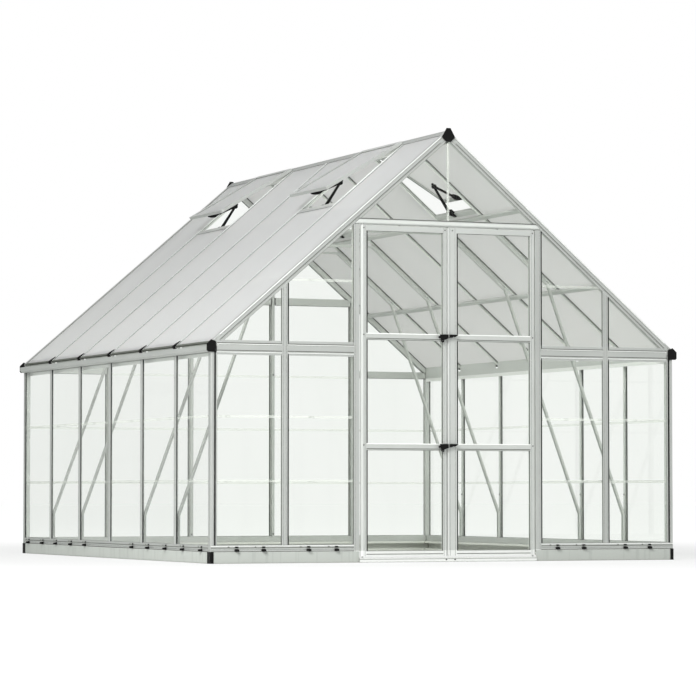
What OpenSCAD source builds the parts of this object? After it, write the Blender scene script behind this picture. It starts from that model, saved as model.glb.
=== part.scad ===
// Aluminium greenhouse with clear walls, a translucent roof, four roof vents
// and a pair of hinged doors. Millimetres, +Z up, doors towards -Y.

/* [Overall size] */
// Width over the base frame, side to side
body_w = 3030; // [2800:10:3400]
// Length over the base frame, front to back
body_l = 3640; // [3200:10:4200]
// Height of the roof's outer face at the side walls
eave_h = 1287; // [1200:1:1380]
// Height of the roof's outer face at the apex
ridge_h = 2582; // [2500:1:2700]

/* [Bays] */
// Number of bays along each side wall
side_bays = 6; // [6:1:8]
// Number of bays across the back wall
back_bays = 5; // [5:2:7]
// Distance of each front mullion from the centre line
mullion_x = 1053; // [980:1:1120]
// Distance of each door post from the centre line
door_post_x = 597; // [560:1:640]

/* [Base and sills] */
// Height of the steel base rail
base_h = 66; // [50:1:90]
// Depth of the steel base rail
base_d = 52; // [50:1:70]
// Height of the sill rail on the base
sill_h = 40; // [30:1:60]
// Sheet thickness of the base rail
base_t = 3; // [2:0.5:5]

/* [Frame profiles] */
// Visible face of a glazing bar
bar_face = 36; // [30:1:44]
// Depth of a glazing bar
bar_depth = 34; // [30:1:44]
// Wall thickness of the extruded profiles
flange_t = 3; // [2:0.5:4]
// Width of the web between two panes
web_w = 8; // [6:1:12]
// Width of a glazing bar's inner flange
inner_face = 28; // [24:1:30]
// Width of the hollow stem behind the inner flange
stem_w = 16; // [12:1:20]
// Depth of the shallower bars of the side walls
stud_d = 18; // [16:1:26]
// Width of a corner post
post_w = 38; // [36:1:50]
// Depth of a gable rafter below the roof's outer face
rafter_d = 44; // [40:1:50]
// Height of the eave rails on the gables
rail_h = 54; // [50:1:60]
// Drop of the eave beam's top below the eave
seat_drop = 25; // [22:1:30]
// Height of the eave beam
beam_h = 34; // [30:1:40]
// Drop of the plate behind it below its underside
plate_drop = 22; // [16:1:28]
// Width of the gutter trough outside the wall
gutter_w = 27; // [20:1:40]
// Height of the rail at eaves level in the outer bays of the back
back_rail_h = 44; // [40:1:50]
// Height of the bright rail over the doors
header_h = 33; // [28:1:40]
// Drop of its underside below the roof's outer face, over the door posts
header_drop = 71; // [60:1:90]
// Height of the back tie rail
tie_h = 48; // [40:1:50]
// Drop of its underside below the roof's outer face, at its ends
tie_drop = 72; // [70:1:120]

/* [Glazing] */
// Thickness of the clear wall sheets
pane_t = 4; // [3:0.5:5]
// Thickness of the twin-wall roof sheets
roof_t = 6; // [5:0.5:8]
// Clearance on each side of a sheet in its slot
seat_gap = 0.3; // [0.2:0.1:0.5]
// Depth that a sheet enters a post or rail
slot_in = 8; // [6:1:10]
// Height of a clear strip between two stacked sheets
strip_h = 14; // [10:1:18]
// Drop of the upper joint beside the doors below the roof, over the front mullions
joint_drop = 22; // [15:1:60]

/* [Roof] */
// Depth of a roof bar below the roof's outer face
roof_bar_d = 22; // [20:1:26]
// Depth of the ridge beam below the apex
ridge_d = 78; // [72:1:90]
// Width of the ridge beam's stem
ridge_stem_w = 30; // [26:1:34]
// Reach of the ridge beam's wings down the slope
ridge_reach = 45; // [42:1:50]
// Lower purlin, as a fraction of the slope from the eave
purlin_low = 0.312; // [0.25:0.001:0.36]
// Gap between the vent bars and the upper purlin
purlin_gap = 17; // [10:1:30]
// Size of a purlin across the slope
purlin_w = 26; // [20:1:30]
// Depth of a purlin under the roof bars
purlin_d = 18; // [15:1:24]
// Upper end of the sheet under a vent, from the apex
vent_bar_s = 648; // [600:1:650]
// Length of a vent sash down the slope
vent_l = 583; // [540:1:590]
// Angle that the vents stand open
vent_angle = 9.8; // [6:0.1:18]
// Width of a vent sash rail
sash_face = 28; // [20:1:34]
// Thickness of a vent sash
sash_t = 20; // [16:1:22]
// Length of the lower link of a vent stay
low_link_l = 185; // [180:1:200]
// Length of the upper link of a vent stay
high_link_l = 153; // [148:1:165]
// Width of a link
link_w = 14; // [10:1:16]
// Width of the lower link at its foot
foot_w = 20; // [14:1:24]
// Thickness of a link
link_t = 5; // [3:0.5:6]
// Width of the brackets at the ends of a stay
bracket_w = 22; // [16:1:30]

/* [Knee braces] */
// Height of the bend above the ground
brace_bend_z = 275; // [200:1:350]
// Distance of the brace's upper end from the centre line
brace_top_x = 975; // [900:1:1000]
// Gap along the slope between the upper purlin and the collar ties
collar_gap = 66; // [50:1:80]
// Height of a collar tie
collar_h = 16; // [12:1:20]
// Depth of its two arms under the roof bars
arm_d = 21; // [15:1:24]
// Width of the brace channel
brace_w = 24; // [18:1:30]
// Depth of the brace channel
brace_d = 14; // [10:1:16]

/* [Doors] */
// Gap between a leaf and its post
leaf_gap = 7; // [6:1:10]
// Gap between the two leaves
centre_gap = 8; // [7:1:12]
// How far the gap lies left of the centre line
gap_offset = 10; // [0:1:14]
// Thickness of a leaf
leaf_t = 28; // [24:1:34]
// How far the leaves stand out of the wall
leaf_proud = 10; // [8:1:14]
// Width of the hinge stiles
stile_w = 34; // [30:1:40]
// Width of the left leaf's closing stile
left_stile_w = 26; // [22:1:34]
// Width of the right leaf's closing stile
right_stile_w = 56; // [40:1:60]
// Height of the door's underside
leaf_z = 36; // [34:1:50]
// Height of the threshold
threshold_h = 28; // [20:1:28]
// Height of a leaf's bottom rail
bottom_rail_h = 30; // [26:1:40]
// Height of a leaf's top rail
top_rail_h = 32; // [26:1:40]
// Height of the mid rails
mid_rail_h = 36; // [30:1:44]
// Centre of the lower mid rail, as a fraction of the leaf's height
mid_rail_f1 = 0.33; // [0.28:0.005:0.38]
// Centre of the upper mid rail, as a fraction of the leaf's height
mid_rail_f2 = 0.6635; // [0.6:0.0005:0.7]
// Radius of the pivot pins
pin_r = 5; // [4:0.5:6]
// How far the latches stand out of the leaf
latch_out = 28; // [22:1:34]
// Length of a latch beside the gap between the leaves
latch_l = 54; // [46:1:60]
// Thickness of the latch lever and its keeper
lever_t = 8; // [6:1:10]

/* [Hidden] */
$fn = 48;

silver = [0.78, 0.80, 0.78];
black = [0.08, 0.08, 0.08];
clear = [0.85, 0.92, 0.88, 0.25];
milky = [0.80, 0.81, 0.81, 0.75];

half_w = body_w / 2;
half_l = body_l / 2;
cap_t = 8;
latch_reach = leaf_proud + latch_out;
centre_shift = (latch_reach - cap_t) / 2;
front_y = centre_shift - half_l;
back_y = centre_shift + half_l;
side_bay = body_l / side_bays;
back_bay = body_w / back_bays;
rise = ridge_h - eave_h;
slope = atan2(rise, half_w);
slope_len = norm([rise, half_w]);

pane_slot = pane_t + 2 * seat_gap;
roof_slot = roof_t + 2 * seat_gap;
edge_gap = 1;
sill_top = base_h + sill_h;
seat_z = eave_h - seat_drop;
rail_z = seat_z - beam_h;
rail_top = rail_z + rail_h;
lip_h = 16;
groove_w = 2;
groove_d = 1.6;
sheet_gap = 3;
pane_x0 = flange_t + seat_gap;
tie_z = roof_z(half_w - back_bay) - tie_drop;
header_z = roof_z(door_post_x) - header_drop;
front_joint_z = roof_z(mullion_x) - joint_drop;
purlin_s = vent_bar_s + purlin_gap + purlin_w / 2;
collar_z = roof_pt(purlin_s + purlin_w / 2 + collar_gap, roof_bar_d)[1] - collar_h;
past_eave = 2 * bar_depth;
brace_top_z = roof_z(brace_top_x) - (roof_bar_d + arm_d) / cos(slope);
post_edge = post_w - slot_in + edge_gap;
wall_edge = bar_depth + edge_gap;
web_edge = web_w / 2 + edge_gap;
door_half = door_post_x - bar_face / 2;
leaf_out = door_half - leaf_gap;
pivot_x = leaf_out - leaf_t / 2;
pivot_y = front_y - leaf_proud + leaf_t / 2;
leaf_top = header_z - leaf_gap;
leaf_h = leaf_top - leaf_z;
mid_rail_z = [leaf_z + mid_rail_f1 * leaf_h, leaf_z + mid_rail_f2 * leaf_h];
// Lower and upper edges of the three openings of a leaf
leaf_openings = [
    [leaf_z + bottom_rail_h, mid_rail_z[0] - mid_rail_h / 2],
    [mid_rail_z[0] + mid_rail_h / 2, mid_rail_z[1] - mid_rail_h / 2],
    [mid_rail_z[1] + mid_rail_h / 2, leaf_top - top_rail_h]
];
left_edge = gap_offset + centre_gap / 2;
right_edge = centre_gap / 2 - gap_offset;
pivot_in = 12;
bore_in = 14;
ridge_slot_s = 20;
hinge_s = ridge_reach - slot_in;
sash_gap = 2;
sash_w = side_bay - 2 * sash_gap;
sheet_over = 4;
joint_z = [for (i = [1:2]) sill_top + i * (rail_z - sill_top) / 3];
vent_bays = [1, side_bays - 2];
far = 5000;
brace_x0 = half_w - stud_d;
brace_dir = [brace_top_x - brace_x0, brace_top_z - brace_bend_z]
    / norm([brace_top_x - brace_x0, brace_top_z - brace_bend_z]);
brace_path = [
    [brace_x0, sill_top],
    [brace_x0, brace_bend_z],
    [brace_top_x, brace_top_z] + 2 * arm_d * brace_dir
];

// Height of the roof's outer face at a distance from the centre line
function roof_z(x) = ridge_h - x * rise / half_w;

// Position of a side frame, 0 at the front gable
function frame_y(k) = front_y + k * side_bay;

// A point of the right slope, from its distance down from the apex and its depth
function roof_pt(s, w) = [s * cos(slope) - w * sin(slope), ridge_h - s * sin(slope) - w * cos(slope)];

// Closes a half outline with its mirror image about the first axis
function mirrored(p) = concat(p, [for (i = [len(p) - 1:-1:0]) [p[i][0], -p[i][1]]]);

// Unit normal of the segment from a to b
function normal(a, b) = [a[1] - b[1], b[0] - a[0]] / norm(b - a);

// Bent line p moved sideways by d, mitred at its middle point
function beside(p, d) = [
    p[0] + d * normal(p[0], p[1]),
    p[1] + d * (normal(p[0], p[1]) + normal(p[1], p[2])) / (1 + normal(p[0], p[1]) * normal(p[1], p[2])),
    p[2] + d * normal(p[1], p[2])
];

// Shallow groove in an outer face, end on, at a distance along it
module groove(at) {
    translate([-groove_d, at - groove_w / 2])
        square([groove_d + 1, groove_w]);
}

// Glazing bar, end on: grooved outer flange, web between two sheets, inner flange and hollow stem
module bar_outline(slot, depth) {
    in1 = -flange_t - slot;
    in2 = in1 - flange_t;
    difference() {
        polygon(mirrored([
            [0, bar_face / 2 - 1],
            [-1, bar_face / 2],
            [-flange_t, bar_face / 2],
            [-flange_t, web_w / 2],
            [in1, web_w / 2],
            [in1, inner_face / 2],
            [in2, inner_face / 2],
            [in2, stem_w / 2],
            [-depth, stem_w / 2]
        ]));
        for (side = [-1, 1])
            groove(side * bar_face / 4);
        translate([flange_t - depth, -stem_w / 2 + flange_t])
            square([in2 + depth - flange_t, stem_w - 2 * flange_t]);
    }
}

// Corner post, end on: a hollow square with a slot towards each wall
module post_outline() {
    difference() {
        polygon([[0, 3], [0, post_w], [-post_w, post_w], [-post_w, 0], [-3, 0]]);
        translate([-post_w - 1, flange_t])
            square([slot_in + 1, pane_slot]);
        translate([-flange_t - pane_slot, post_w - slot_in])
            square([pane_slot, slot_in + 1]);
        translate([flange_t + slot_in - post_w, flange_t + pane_slot + flange_t])
            square([post_w - 2 * slot_in - flange_t, post_w - 2 * slot_in - flange_t]);
        groove(post_w / 2);
        translate([-post_w / 2, 0])
            rotate(-90)
                groove(0);
    }
}

// Steel base rail, end on: a channel open to the inside with lips
module base_outline() {
    lip = 14;
    polygon([
        [0, 0], [0, base_h], [-base_d, base_h], [-base_d, base_h - lip],
        [base_t - base_d, base_h - lip], [base_t - base_d, base_h - base_t],
        [-base_t, base_h - base_t], [-base_t, base_t],
        [base_t - base_d, base_t], [base_t - base_d, lip], [-base_d, lip], [-base_d, 0]
    ]);
}

// Sill rail, end on: hollow box with a slot for the sheets on top
module sill_outline() {
    inner = flange_t + pane_slot + flange_t;
    difference() {
        polygon([
            [0, base_h], [0, sill_top - 2], [-1, sill_top],
            [-bar_depth, sill_top], [-bar_depth, base_h]
        ]);
        translate([-flange_t - pane_slot, sill_top - slot_in])
            square([pane_slot, slot_in + 1]);
        translate([flange_t - bar_depth, base_h + flange_t])
            square([bar_depth - inner - flange_t, sill_h - 2 * flange_t]);
        groove(base_h + sill_h / 3);
    }
}

// Gable rail, end on: grooved hollow box with slots above and below, and lips over both sheets
module rail_outline(z0, h, lip) {
    inner = flange_t + pane_slot + flange_t;
    difference() {
        union() {
            translate([-bar_depth, z0])
                square([bar_depth, h]);
            translate([-flange_t, z0 - lip])
                square([flange_t - 1, h + 2 * lip]);
        }
        groove(z0 + lip_h / 2);
        groove(z0 + h - lip_h * 2 / 3);
        translate([-flange_t - pane_slot, z0 - 1])
            square([pane_slot, slot_in + 1]);
        translate([-flange_t - pane_slot, z0 + h - slot_in])
            square([pane_slot, slot_in + 1]);
        translate([flange_t - bar_depth, z0 + flange_t])
            square([bar_depth - inner - flange_t, h - 2 * flange_t]);
    }
}

// Eave beam and gutter in one profile: hollow beam, pane slot below, trough outside
module gutter_outline() {
    t = flange_t;
    lip_z = seat_z + 2;
    floor_z = rail_z + 2 * t;
    inner = flange_t + pane_slot + flange_t;
    difference() {
        polygon([
            [-bar_depth, rail_z], [t, rail_z], [gutter_w - 3 * t, floor_z - t],
            [gutter_w, floor_z + 2 * t], [gutter_w, lip_z], [gutter_w - 2 * t, lip_z],
            [gutter_w - 2 * t, lip_z - t], [gutter_w - t, lip_z - t], [gutter_w - t, floor_z + 3 * t],
            [gutter_w - 3 * t, floor_z], [0, floor_z], [0, seat_z], [-bar_depth, seat_z]
        ]);
        translate([-flange_t - pane_slot, rail_z - 1])
            square([pane_slot, slot_in + 1]);
        translate([flange_t - bar_depth, rail_z + flange_t])
            square([bar_depth - inner - flange_t, seat_z - rail_z - 2 * flange_t]);
    }
}

// Gable rafter, end on: slot for the roof sheet inwards, slot for the gable sheet below,
// and grooves in the face towards the outside
module rafter_outline() {
    difference() {
        translate([-rafter_d, 0])
            square([rafter_d, bar_face]);
        translate([-flange_t - roof_slot, bar_face - slot_in])
            square([roof_slot, slot_in + 1]);
        translate([-rafter_d - 1, flange_t])
            square([slot_in + 1, pane_slot]);
        translate([slot_in + flange_t - rafter_d, flange_t])
            square([rafter_d - slot_in - 4 * flange_t - roof_slot, bar_face - 2 * flange_t]);
        for (f = [1, 3])
            translate([-f * rafter_d / 4, 0])
                rotate(-90)
                    groove(0);
    }
}

// Ridge beam, end on: two slotted wings on a hollow stem
module ridge_outline() {
    under = 2 * flange_t + roof_slot;
    stem = ridge_stem_w / 2;
    foot = ridge_h - ridge_d;
    chamber = ridge_d - 2 * flange_t - under / cos(slope) - stem * rise / half_w;
    half = [
        [0, ridge_h],
        roof_pt(ridge_reach, 0),
        roof_pt(ridge_reach, flange_t),
        roof_pt(ridge_slot_s, flange_t),
        roof_pt(ridge_slot_s, flange_t + roof_slot),
        roof_pt(ridge_reach, flange_t + roof_slot),
        roof_pt(ridge_reach, under),
        roof_pt((stem + under * sin(slope)) / cos(slope), under),
        [stem, foot]
    ];
    left_half = [for (i = [len(half) - 1:-1:1]) [-half[i][0], half[i][1]]];
    difference() {
        polygon(concat(half, left_half));
        translate([flange_t - stem, foot + flange_t])
            square([2 * (stem - flange_t), chamber]);
    }
}

// Carries an outline (outward, up) along the right side wall
module along_side(y0, y1) {
    translate([half_w, y1, 0])
        rotate([90, 0, 0])
            linear_extrude(y1 - y0)
                children();
}

// Carries an outline (outward, up) along the front wall
module along_front(x0, x1) {
    translate([x0, front_y, 0])
        rotate([90, 0, 90])
            linear_extrude(x1 - x0)
                mirror([1, 0])
                    children();
}

// Carries an outline (outward, up) along the back wall
module along_back(x0, x1) {
    translate([x0, back_y, 0])
        rotate([90, 0, 90])
            linear_extrude(x1 - x0)
                children();
}

// Stands an outline (outward, sideways) up from z0 to z1 on the front wall
module up_front(x, z0, z1) {
    translate([x, front_y, z0])
        rotate([0, 0, -90])
            linear_extrude(z1 - z0)
                children();
}

// The same on the back wall
module up_back(x, z0, z1) {
    translate([x, back_y, z0])
        rotate([0, 0, 90])
            linear_extrude(z1 - z0)
                children();
}

// Places children on the right slope: x outwards, y along the house, z up the slope
module on_slope() {
    translate([half_w, 0, eave_h])
        rotate([0, slope - 90, 0])
            children();
}

// Copies children to both sides of the centre line
module both_sides() {
    children();
    mirror([1, 0, 0])
        children();
}

// The region under the two slopes, end on, down to a given depth below their outer face
module gable_region(depth) {
    drop = depth / cos(slope);
    polygon([
        [-half_w, -1], [half_w, -1], [half_w, eave_h - drop], [0, ridge_h - drop],
        [-half_w, eave_h - drop]
    ]);
}

module under_gable(depth) {
    translate([0, far, 0])
        rotate([90, 0, 0])
            linear_extrude(2 * far)
                gable_region(depth);
}

// Plan of a rail on the right side whose ends are mitred to the end rails
module side_mitre() {
    d = base_d;
    linear_extrude(sill_top)
        polygon([
            [half_w + 1, front_y - 1], [half_w + 1, back_y + 1],
            [half_w - d, back_y - d], [half_w - d, front_y + d]
        ]);
}

// Plan of the end rails, the remainder of the same mitres
module end_mitre() {
    d = base_d;
    linear_extrude(sill_top)
        for (m = [0, 1])
            translate([0, m * (front_y + back_y), 0])
                mirror([0, m, 0])
                    polygon([
                        [-half_w - 1, front_y - 1], [half_w + 1, front_y - 1],
                        [half_w - d, front_y + d], [d - half_w, front_y + d]
                    ]);
}

// Clear sheet in a gable wall between x0 and x1, z0 and z1, cut to the slope
module gable_sheet(y_out, dir, x0, x1, z0, z1) {
    y0 = dir > 0 ? y_out + pane_x0 : y_out - pane_x0 - pane_t;
    intersection() {
        translate([x0, y0, z0])
            cube([x1 - x0, pane_t, z1 - z0]);
        under_gable(rafter_d - slot_in + edge_gap);
    }
}

// Clear strip between two stacked sheets: an H, end on
module strip_outline(z) {
    out = 1.4;
    half = strip_h / 2;
    web = sheet_gap / 2 - seat_gap;
    polygon([
        [out, z - half], [out, z + half], [0, z + half], [0, z + web], [-pane_t, z + web],
        [-pane_t, z + half], [-pane_t - out, z + half], [-pane_t - out, z - half],
        [-pane_t, z - half], [-pane_t, z - web], [0, z - web], [0, z - half]
    ]);
}

module base_right_rail() {
    intersection() {
        along_side(front_y, back_y)
            base_outline();
        side_mitre();
    }
}

module base_right() {
    color(silver)
        base_right_rail();
}

module base_left() {
    color(silver)
        mirror([1, 0, 0])
            base_right_rail();
}

module base_back() {
    color(silver)
        intersection() {
            along_back(-half_w, half_w)
                base_outline();
            end_mitre();
        }
}

module base_front() {
    color(silver)
        both_sides()
            intersection() {
                along_front(door_half, half_w)
                    base_outline();
                end_mitre();
            }
}

// Black covers wrapped round the corners of the base
module base_corner_caps() {
    t = 3;
    side_leg = 50;
    end_leg = 18;
    color(black)
        both_sides()
            for (m = [0, 1])
                translate([0, m * (front_y + back_y), 0])
                    mirror([0, m, 0])
                        linear_extrude(base_h + 2)
                            polygon([
                                [half_w - end_leg, front_y - t], [half_w + t - 1, front_y - t],
                                [half_w + t, front_y - t + 1], [half_w + t, front_y + side_leg],
                                [half_w, front_y + side_leg], [half_w, front_y],
                                [half_w - end_leg, front_y]
                            ]);
}

// Low rail between the ends of the front base, with the bores of the lower pivots
module door_threshold() {
    step = 4;
    color(silver)
        difference() {
            along_front(-door_half, door_half)
                polygon([
                    [leaf_proud, 0], [leaf_proud, threshold_h - 2 * step],
                    [leaf_proud - step, threshold_h - step], [leaf_proud - step, threshold_h],
                    [-bar_depth, threshold_h], [-bar_depth, 0]
                ]);
            for (s = [-1, 1])
                translate([s * pivot_x, pivot_y, threshold_h - bore_in])
                    cylinder(h = bore_in + 1, r = pin_r + seat_gap);
        }
}

module side_sills() {
    color(silver)
        both_sides()
            intersection() {
                along_side(front_y, back_y)
                    sill_outline();
                side_mitre();
            }
}

module end_sills() {
    color(silver) {
        intersection() {
            along_back(-half_w, half_w)
                sill_outline();
            end_mitre();
        }
        both_sides()
            intersection() {
                along_front(door_post_x + bar_face / 2, half_w)
                    sill_outline();
                end_mitre();
            }
    }
}

module corner_posts() {
    color(silver)
        both_sides()
            for (m = [0, 1])
                translate([0, m * (front_y + back_y), 0])
                    mirror([0, m, 0])
                        translate([half_w, front_y, sill_top])
                            linear_extrude(rail_z - sill_top)
                                post_outline();
}

module side_studs() {
    for (k = [1:side_bays - 1])
        translate([half_w, frame_y(k), sill_top])
            linear_extrude(rail_z - sill_top)
                bar_outline(pane_slot, stud_d);
}

module left_studs() {
    color(silver)
        mirror([1, 0, 0])
            side_studs();
}

module right_studs() {
    color(silver)
        side_studs();
}

module back_mullions() {
    color(silver)
        for (k = [1:back_bays - 1])
            intersection() {
                up_back(k * back_bay - half_w, sill_top, ridge_h)
                    bar_outline(pane_slot, bar_depth);
                under_gable(rafter_d);
            }
}

module front_mullions() {
    color(silver)
        both_sides()
            intersection() {
                up_front(mullion_x, sill_top, ridge_h)
                    bar_outline(pane_slot, bar_depth);
                under_gable(rafter_d);
            }
}

// Hollow posts beside the doors, slotted on the side away from the opening
module door_posts() {
    w = bar_face / 2;
    color(silver)
        both_sides()
            intersection() {
                up_front(door_post_x, base_h, header_z)
                    difference() {
                        polygon([[0, -w], [0, w - 1], [-1, w], [-bar_depth, w], [-bar_depth, -w]]);
                        groove(w / 2);
                        translate([-flange_t - pane_slot, w - slot_in])
                            square([pane_slot, slot_in + 1]);
                        translate([flange_t - bar_depth, flange_t - w])
                            square([bar_depth - 3 * flange_t - pane_slot, bar_face - 2 * flange_t]);
                    }
                under_gable(rafter_d);
            }
}

// Rounded rail over the doors, with the bores of the upper pivots
module door_header() {
    nose = 8;
    r = header_h / 2;
    color(silver)
        difference() {
            intersection() {
                along_front(-door_post_x - bar_face, door_post_x + bar_face)
                    difference() {
                        union() {
                            translate([-bar_depth, header_z])
                                square([bar_depth + nose - r, header_h]);
                            translate([nose - r, header_z + r])
                                circle(r);
                        }
                        translate([-flange_t - pane_slot, header_z + header_h - slot_in])
                            square([pane_slot, slot_in + 1]);
                    }
                under_gable(rafter_d);
            }
            for (s = [-1, 1])
                translate([s * pivot_x, pivot_y, header_z - 1])
                    cylinder(h = bore_in + 1, r = pin_r + seat_gap);
        }
}

module front_eave_rail() {
    w = bar_face / 2;
    color(silver)
        both_sides()
            intersection() {
                union() {
                    along_front(door_post_x + w, mullion_x - w)
                        rail_outline(rail_z, rail_h, lip_h);
                    along_front(mullion_x + w, half_w - post_w)
                        rail_outline(rail_z, rail_h, lip_h);
                }
                under_gable(rafter_d);
            }
}

// Rails of a height h between the posts and mullions of the given bays of the back wall
module back_rail(z0, h, bays) {
    w = bar_face / 2;
    intersection() {
        for (k = bays)
            along_back(
                k == 0 ? post_w - half_w : k * back_bay - half_w + w,
                k == back_bays - 1 ? half_w - post_w : (k + 1) * back_bay - half_w - w
            )
                rail_outline(z0, h, 0);
        under_gable(rafter_d);
    }
}

module back_eave_rail() {
    color(silver)
        back_rail(rail_z, back_rail_h, [0, back_bays - 1]);
}

module back_tie_rail() {
    color(silver)
        back_rail(tie_z, tie_h, [1:back_bays - 2]);
}

// Plate on the inner face of the eave beam, notched for the roof bars: it closes the gap between
// the beam and the roof sheets
module eave_plate() {
    inner = -bar_depth - flange_t;
    under = (flange_t + seat_gap + roof_t) / cos(slope) + seat_gap;
    difference() {
        along_side(front_y + post_w + edge_gap, back_y - post_w - edge_gap)
            polygon([
                [inner, rail_z - plate_drop], [-bar_depth, rail_z - plate_drop],
                [-bar_depth, roof_z(half_w - bar_depth) - under], [inner, roof_z(half_w + inner) - under]
            ]);
        for (k = [1:side_bays - 1])
            translate([0, frame_y(k) - bar_face / 2 - edge_gap, seat_z])
                cube([half_w, bar_face + 2 * edge_gap, rail_h]);
    }
}

module eave_beam() {
    along_side(front_y, back_y)
        gutter_outline();
    eave_plate();
}

module right_gutter() {
    color(silver)
        eave_beam();
}

module left_gutter() {
    color(silver)
        mirror([1, 0, 0])
            eave_beam();
}

// What the eave beam takes away from the lower ends of the rafters and roof bars
module eave_cut() {
    reach = 3 * bar_depth;
    along_side(front_y - 1, back_y + 1)
        polygon([
            [-reach, seat_z - reach], [-reach, seat_z], [-flange_t, seat_z],
            [-flange_t, seat_z + reach], [reach, seat_z + reach], [reach, seat_z - reach]
        ]);
}

module gable_rafters(y, dir) {
    both_sides()
        difference() {
            intersection() {
                translate([0, y, 0])
                    mirror([0, dir > 0 ? 0 : 1, 0])
                        on_slope()
                            translate([0, 0, -past_eave])
                                linear_extrude(slope_len + 2 * past_eave)
                                    rafter_outline();
                translate([0, -far, 0])
                    cube([far, 2 * far, far]);
            }
            eave_cut();
        }
}

module front_rafters() {
    color(silver)
        gable_rafters(front_y, 1);
}

module back_rafters() {
    color(silver)
        gable_rafters(back_y, -1);
}

module slope_bars() {
    difference() {
        on_slope()
            for (k = [1:side_bays - 1])
                translate([0, frame_y(k), -past_eave])
                    linear_extrude(slope_len - ridge_reach + past_eave)
                        bar_outline(roof_slot, roof_bar_d);
        eave_cut();
    }
}

module left_roof_bars() {
    color(silver)
        mirror([1, 0, 0])
            slope_bars();
}

module right_roof_bars() {
    color(silver)
        slope_bars();
}

// Cross bars at the lower edge of the vents, slotted for the sheet below
module vent_bars() {
    w = bar_face / 2;
    color(silver)
        both_sides()
            on_slope()
                for (k = vent_bays)
                    translate([0, frame_y(k + 1) - w, slope_len - vent_bar_s])
                        rotate([90, 0, 0])
                            linear_extrude(side_bay - bar_face)
                                difference() {
                                    translate([-roof_bar_d, 0])
                                        square([roof_bar_d, bar_face]);
                                    translate([-flange_t - roof_slot, -1])
                                        square([roof_slot, slot_in + 1]);
                                    translate([flange_t - roof_bar_d, flange_t])
                                        square([roof_bar_d - 3 * flange_t - roof_slot, bar_face - 2 * flange_t]);
                                }
}

module ridge_beam() {
    color(silver)
        translate([0, back_y - bar_face, 0])
            rotate([90, 0, 0])
                linear_extrude(body_l - 2 * bar_face)
                    ridge_outline();
}

// Black end caps of the ridge and of the two gutters
module roof_end_caps() {
    r = 1.5 * cap_t;
    w = ridge_reach;
    d = ridge_d;
    color(black)
        for (m = [0, 1])
            translate([0, m * (front_y + back_y), 0])
                mirror([0, m, 0])
                    translate([0, front_y, 0])
                        rotate([90, 0, 0])
                            linear_extrude(cap_t) {
                                polygon([
                                    [-r, ridge_h - 0.9 * d], [r, ridge_h - 0.9 * d], [0.8 * w, ridge_h - 0.64 * d],
                                    [0.9 * w, ridge_h - 0.5 * d], [r, ridge_h + r], [-r, ridge_h + r],
                                    [-0.9 * w, ridge_h - 0.5 * d], [-0.8 * w, ridge_h - 0.64 * d]
                                ]);
                                for (s = [-1, 1])
                                    translate([s * half_w, 0])
                                        mirror([s > 0 ? 0 : 1, 0])
                                            polygon([
                                                [cap_t - post_w, rail_z], [gutter_w - cap_t, rail_z],
                                                [gutter_w, rail_z + cap_t], [gutter_w, seat_z + r],
                                                [0, eave_h + r], [cap_t - post_w, eave_h]
                                            ]);
                            }
}

// Black hooks on the lower ends of the roof bars: a thick nose over the edge of the sheets and a
// tail that thins out up the bar
module bar_end_caps() {
    tail = 40;
    start = 10;
    end = 19;
    deep = 16;
    thick = 9;
    wide = 26;
    color(black)
        both_sides()
            along_frames()
                on_slope()
                    translate([0, wide / 2, 0])
                        rotate([90, 0, 0])
                            linear_extrude(wide)
                                polygon([
                                    [0, -start], [0, tail], [2, tail + 1], [0.8 * thick, start], [thick, -start],
                                    [thick / 2, -end], [-deep, -end], [-deep, -start]
                                ]);
}

module along_frames() {
    for (k = [1:side_bays - 1])
        translate([0, frame_y(k), 0])
            children();
}

// Purlin, end on: a hat-shaped channel under the roof bars
module purlin_outline() {
    w = purlin_w / 2;
    t = flange_t;
    difference() {
        translate([-roof_bar_d - purlin_d, -w])
            square([purlin_d, purlin_w]);
        translate([-roof_bar_d - purlin_d + t, t - w])
            square([purlin_d - 2 * t, purlin_w - 2 * t]);
    }
}

module slope_purlins() {
    for (up = [purlin_low * slope_len, slope_len - purlin_s])
        on_slope()
            translate([0, back_y - bar_face, up])
                rotate([90, 0, 0])
                    linear_extrude(body_l - 2 * bar_face)
                        purlin_outline();
}

module left_purlins() {
    color(silver)
        mirror([1, 0, 0])
            slope_purlins();
}

module right_purlins() {
    color(silver)
        slope_purlins();
}

// Places a shape (across the house, up) of a given thickness in each braced side frame
module in_braced_frames(thick) {
    for (k = [1:side_bays - 1])
        if (k != side_bays / 2)
            translate([0, frame_y(k) + thick / 2, 0])
                rotate([90, 0, 0])
                    linear_extrude(thick)
                        children();
}

// Knee braces in the planes of all side frames but the middle one: bent channels, open inwards
module side_braces() {
    outer = concat(beside(brace_path, 0), [for (i = [2:-1:0]) beside(brace_path, brace_d)[i]]);
    inner = concat(beside(brace_path, flange_t), [for (i = [2:-1:0]) beside(brace_path, brace_d + 1)[i]]);
    intersection() {
        difference() {
            in_braced_frames(brace_w)
                polygon(outer);
            in_braced_frames(brace_w - 2 * flange_t)
                polygon(inner);
        }
        under_gable(roof_bar_d);
    }
}

module left_braces() {
    color(silver)
        mirror([1, 0, 0])
            side_braces();
}

module right_braces() {
    color(silver)
        side_braces();
}

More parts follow.
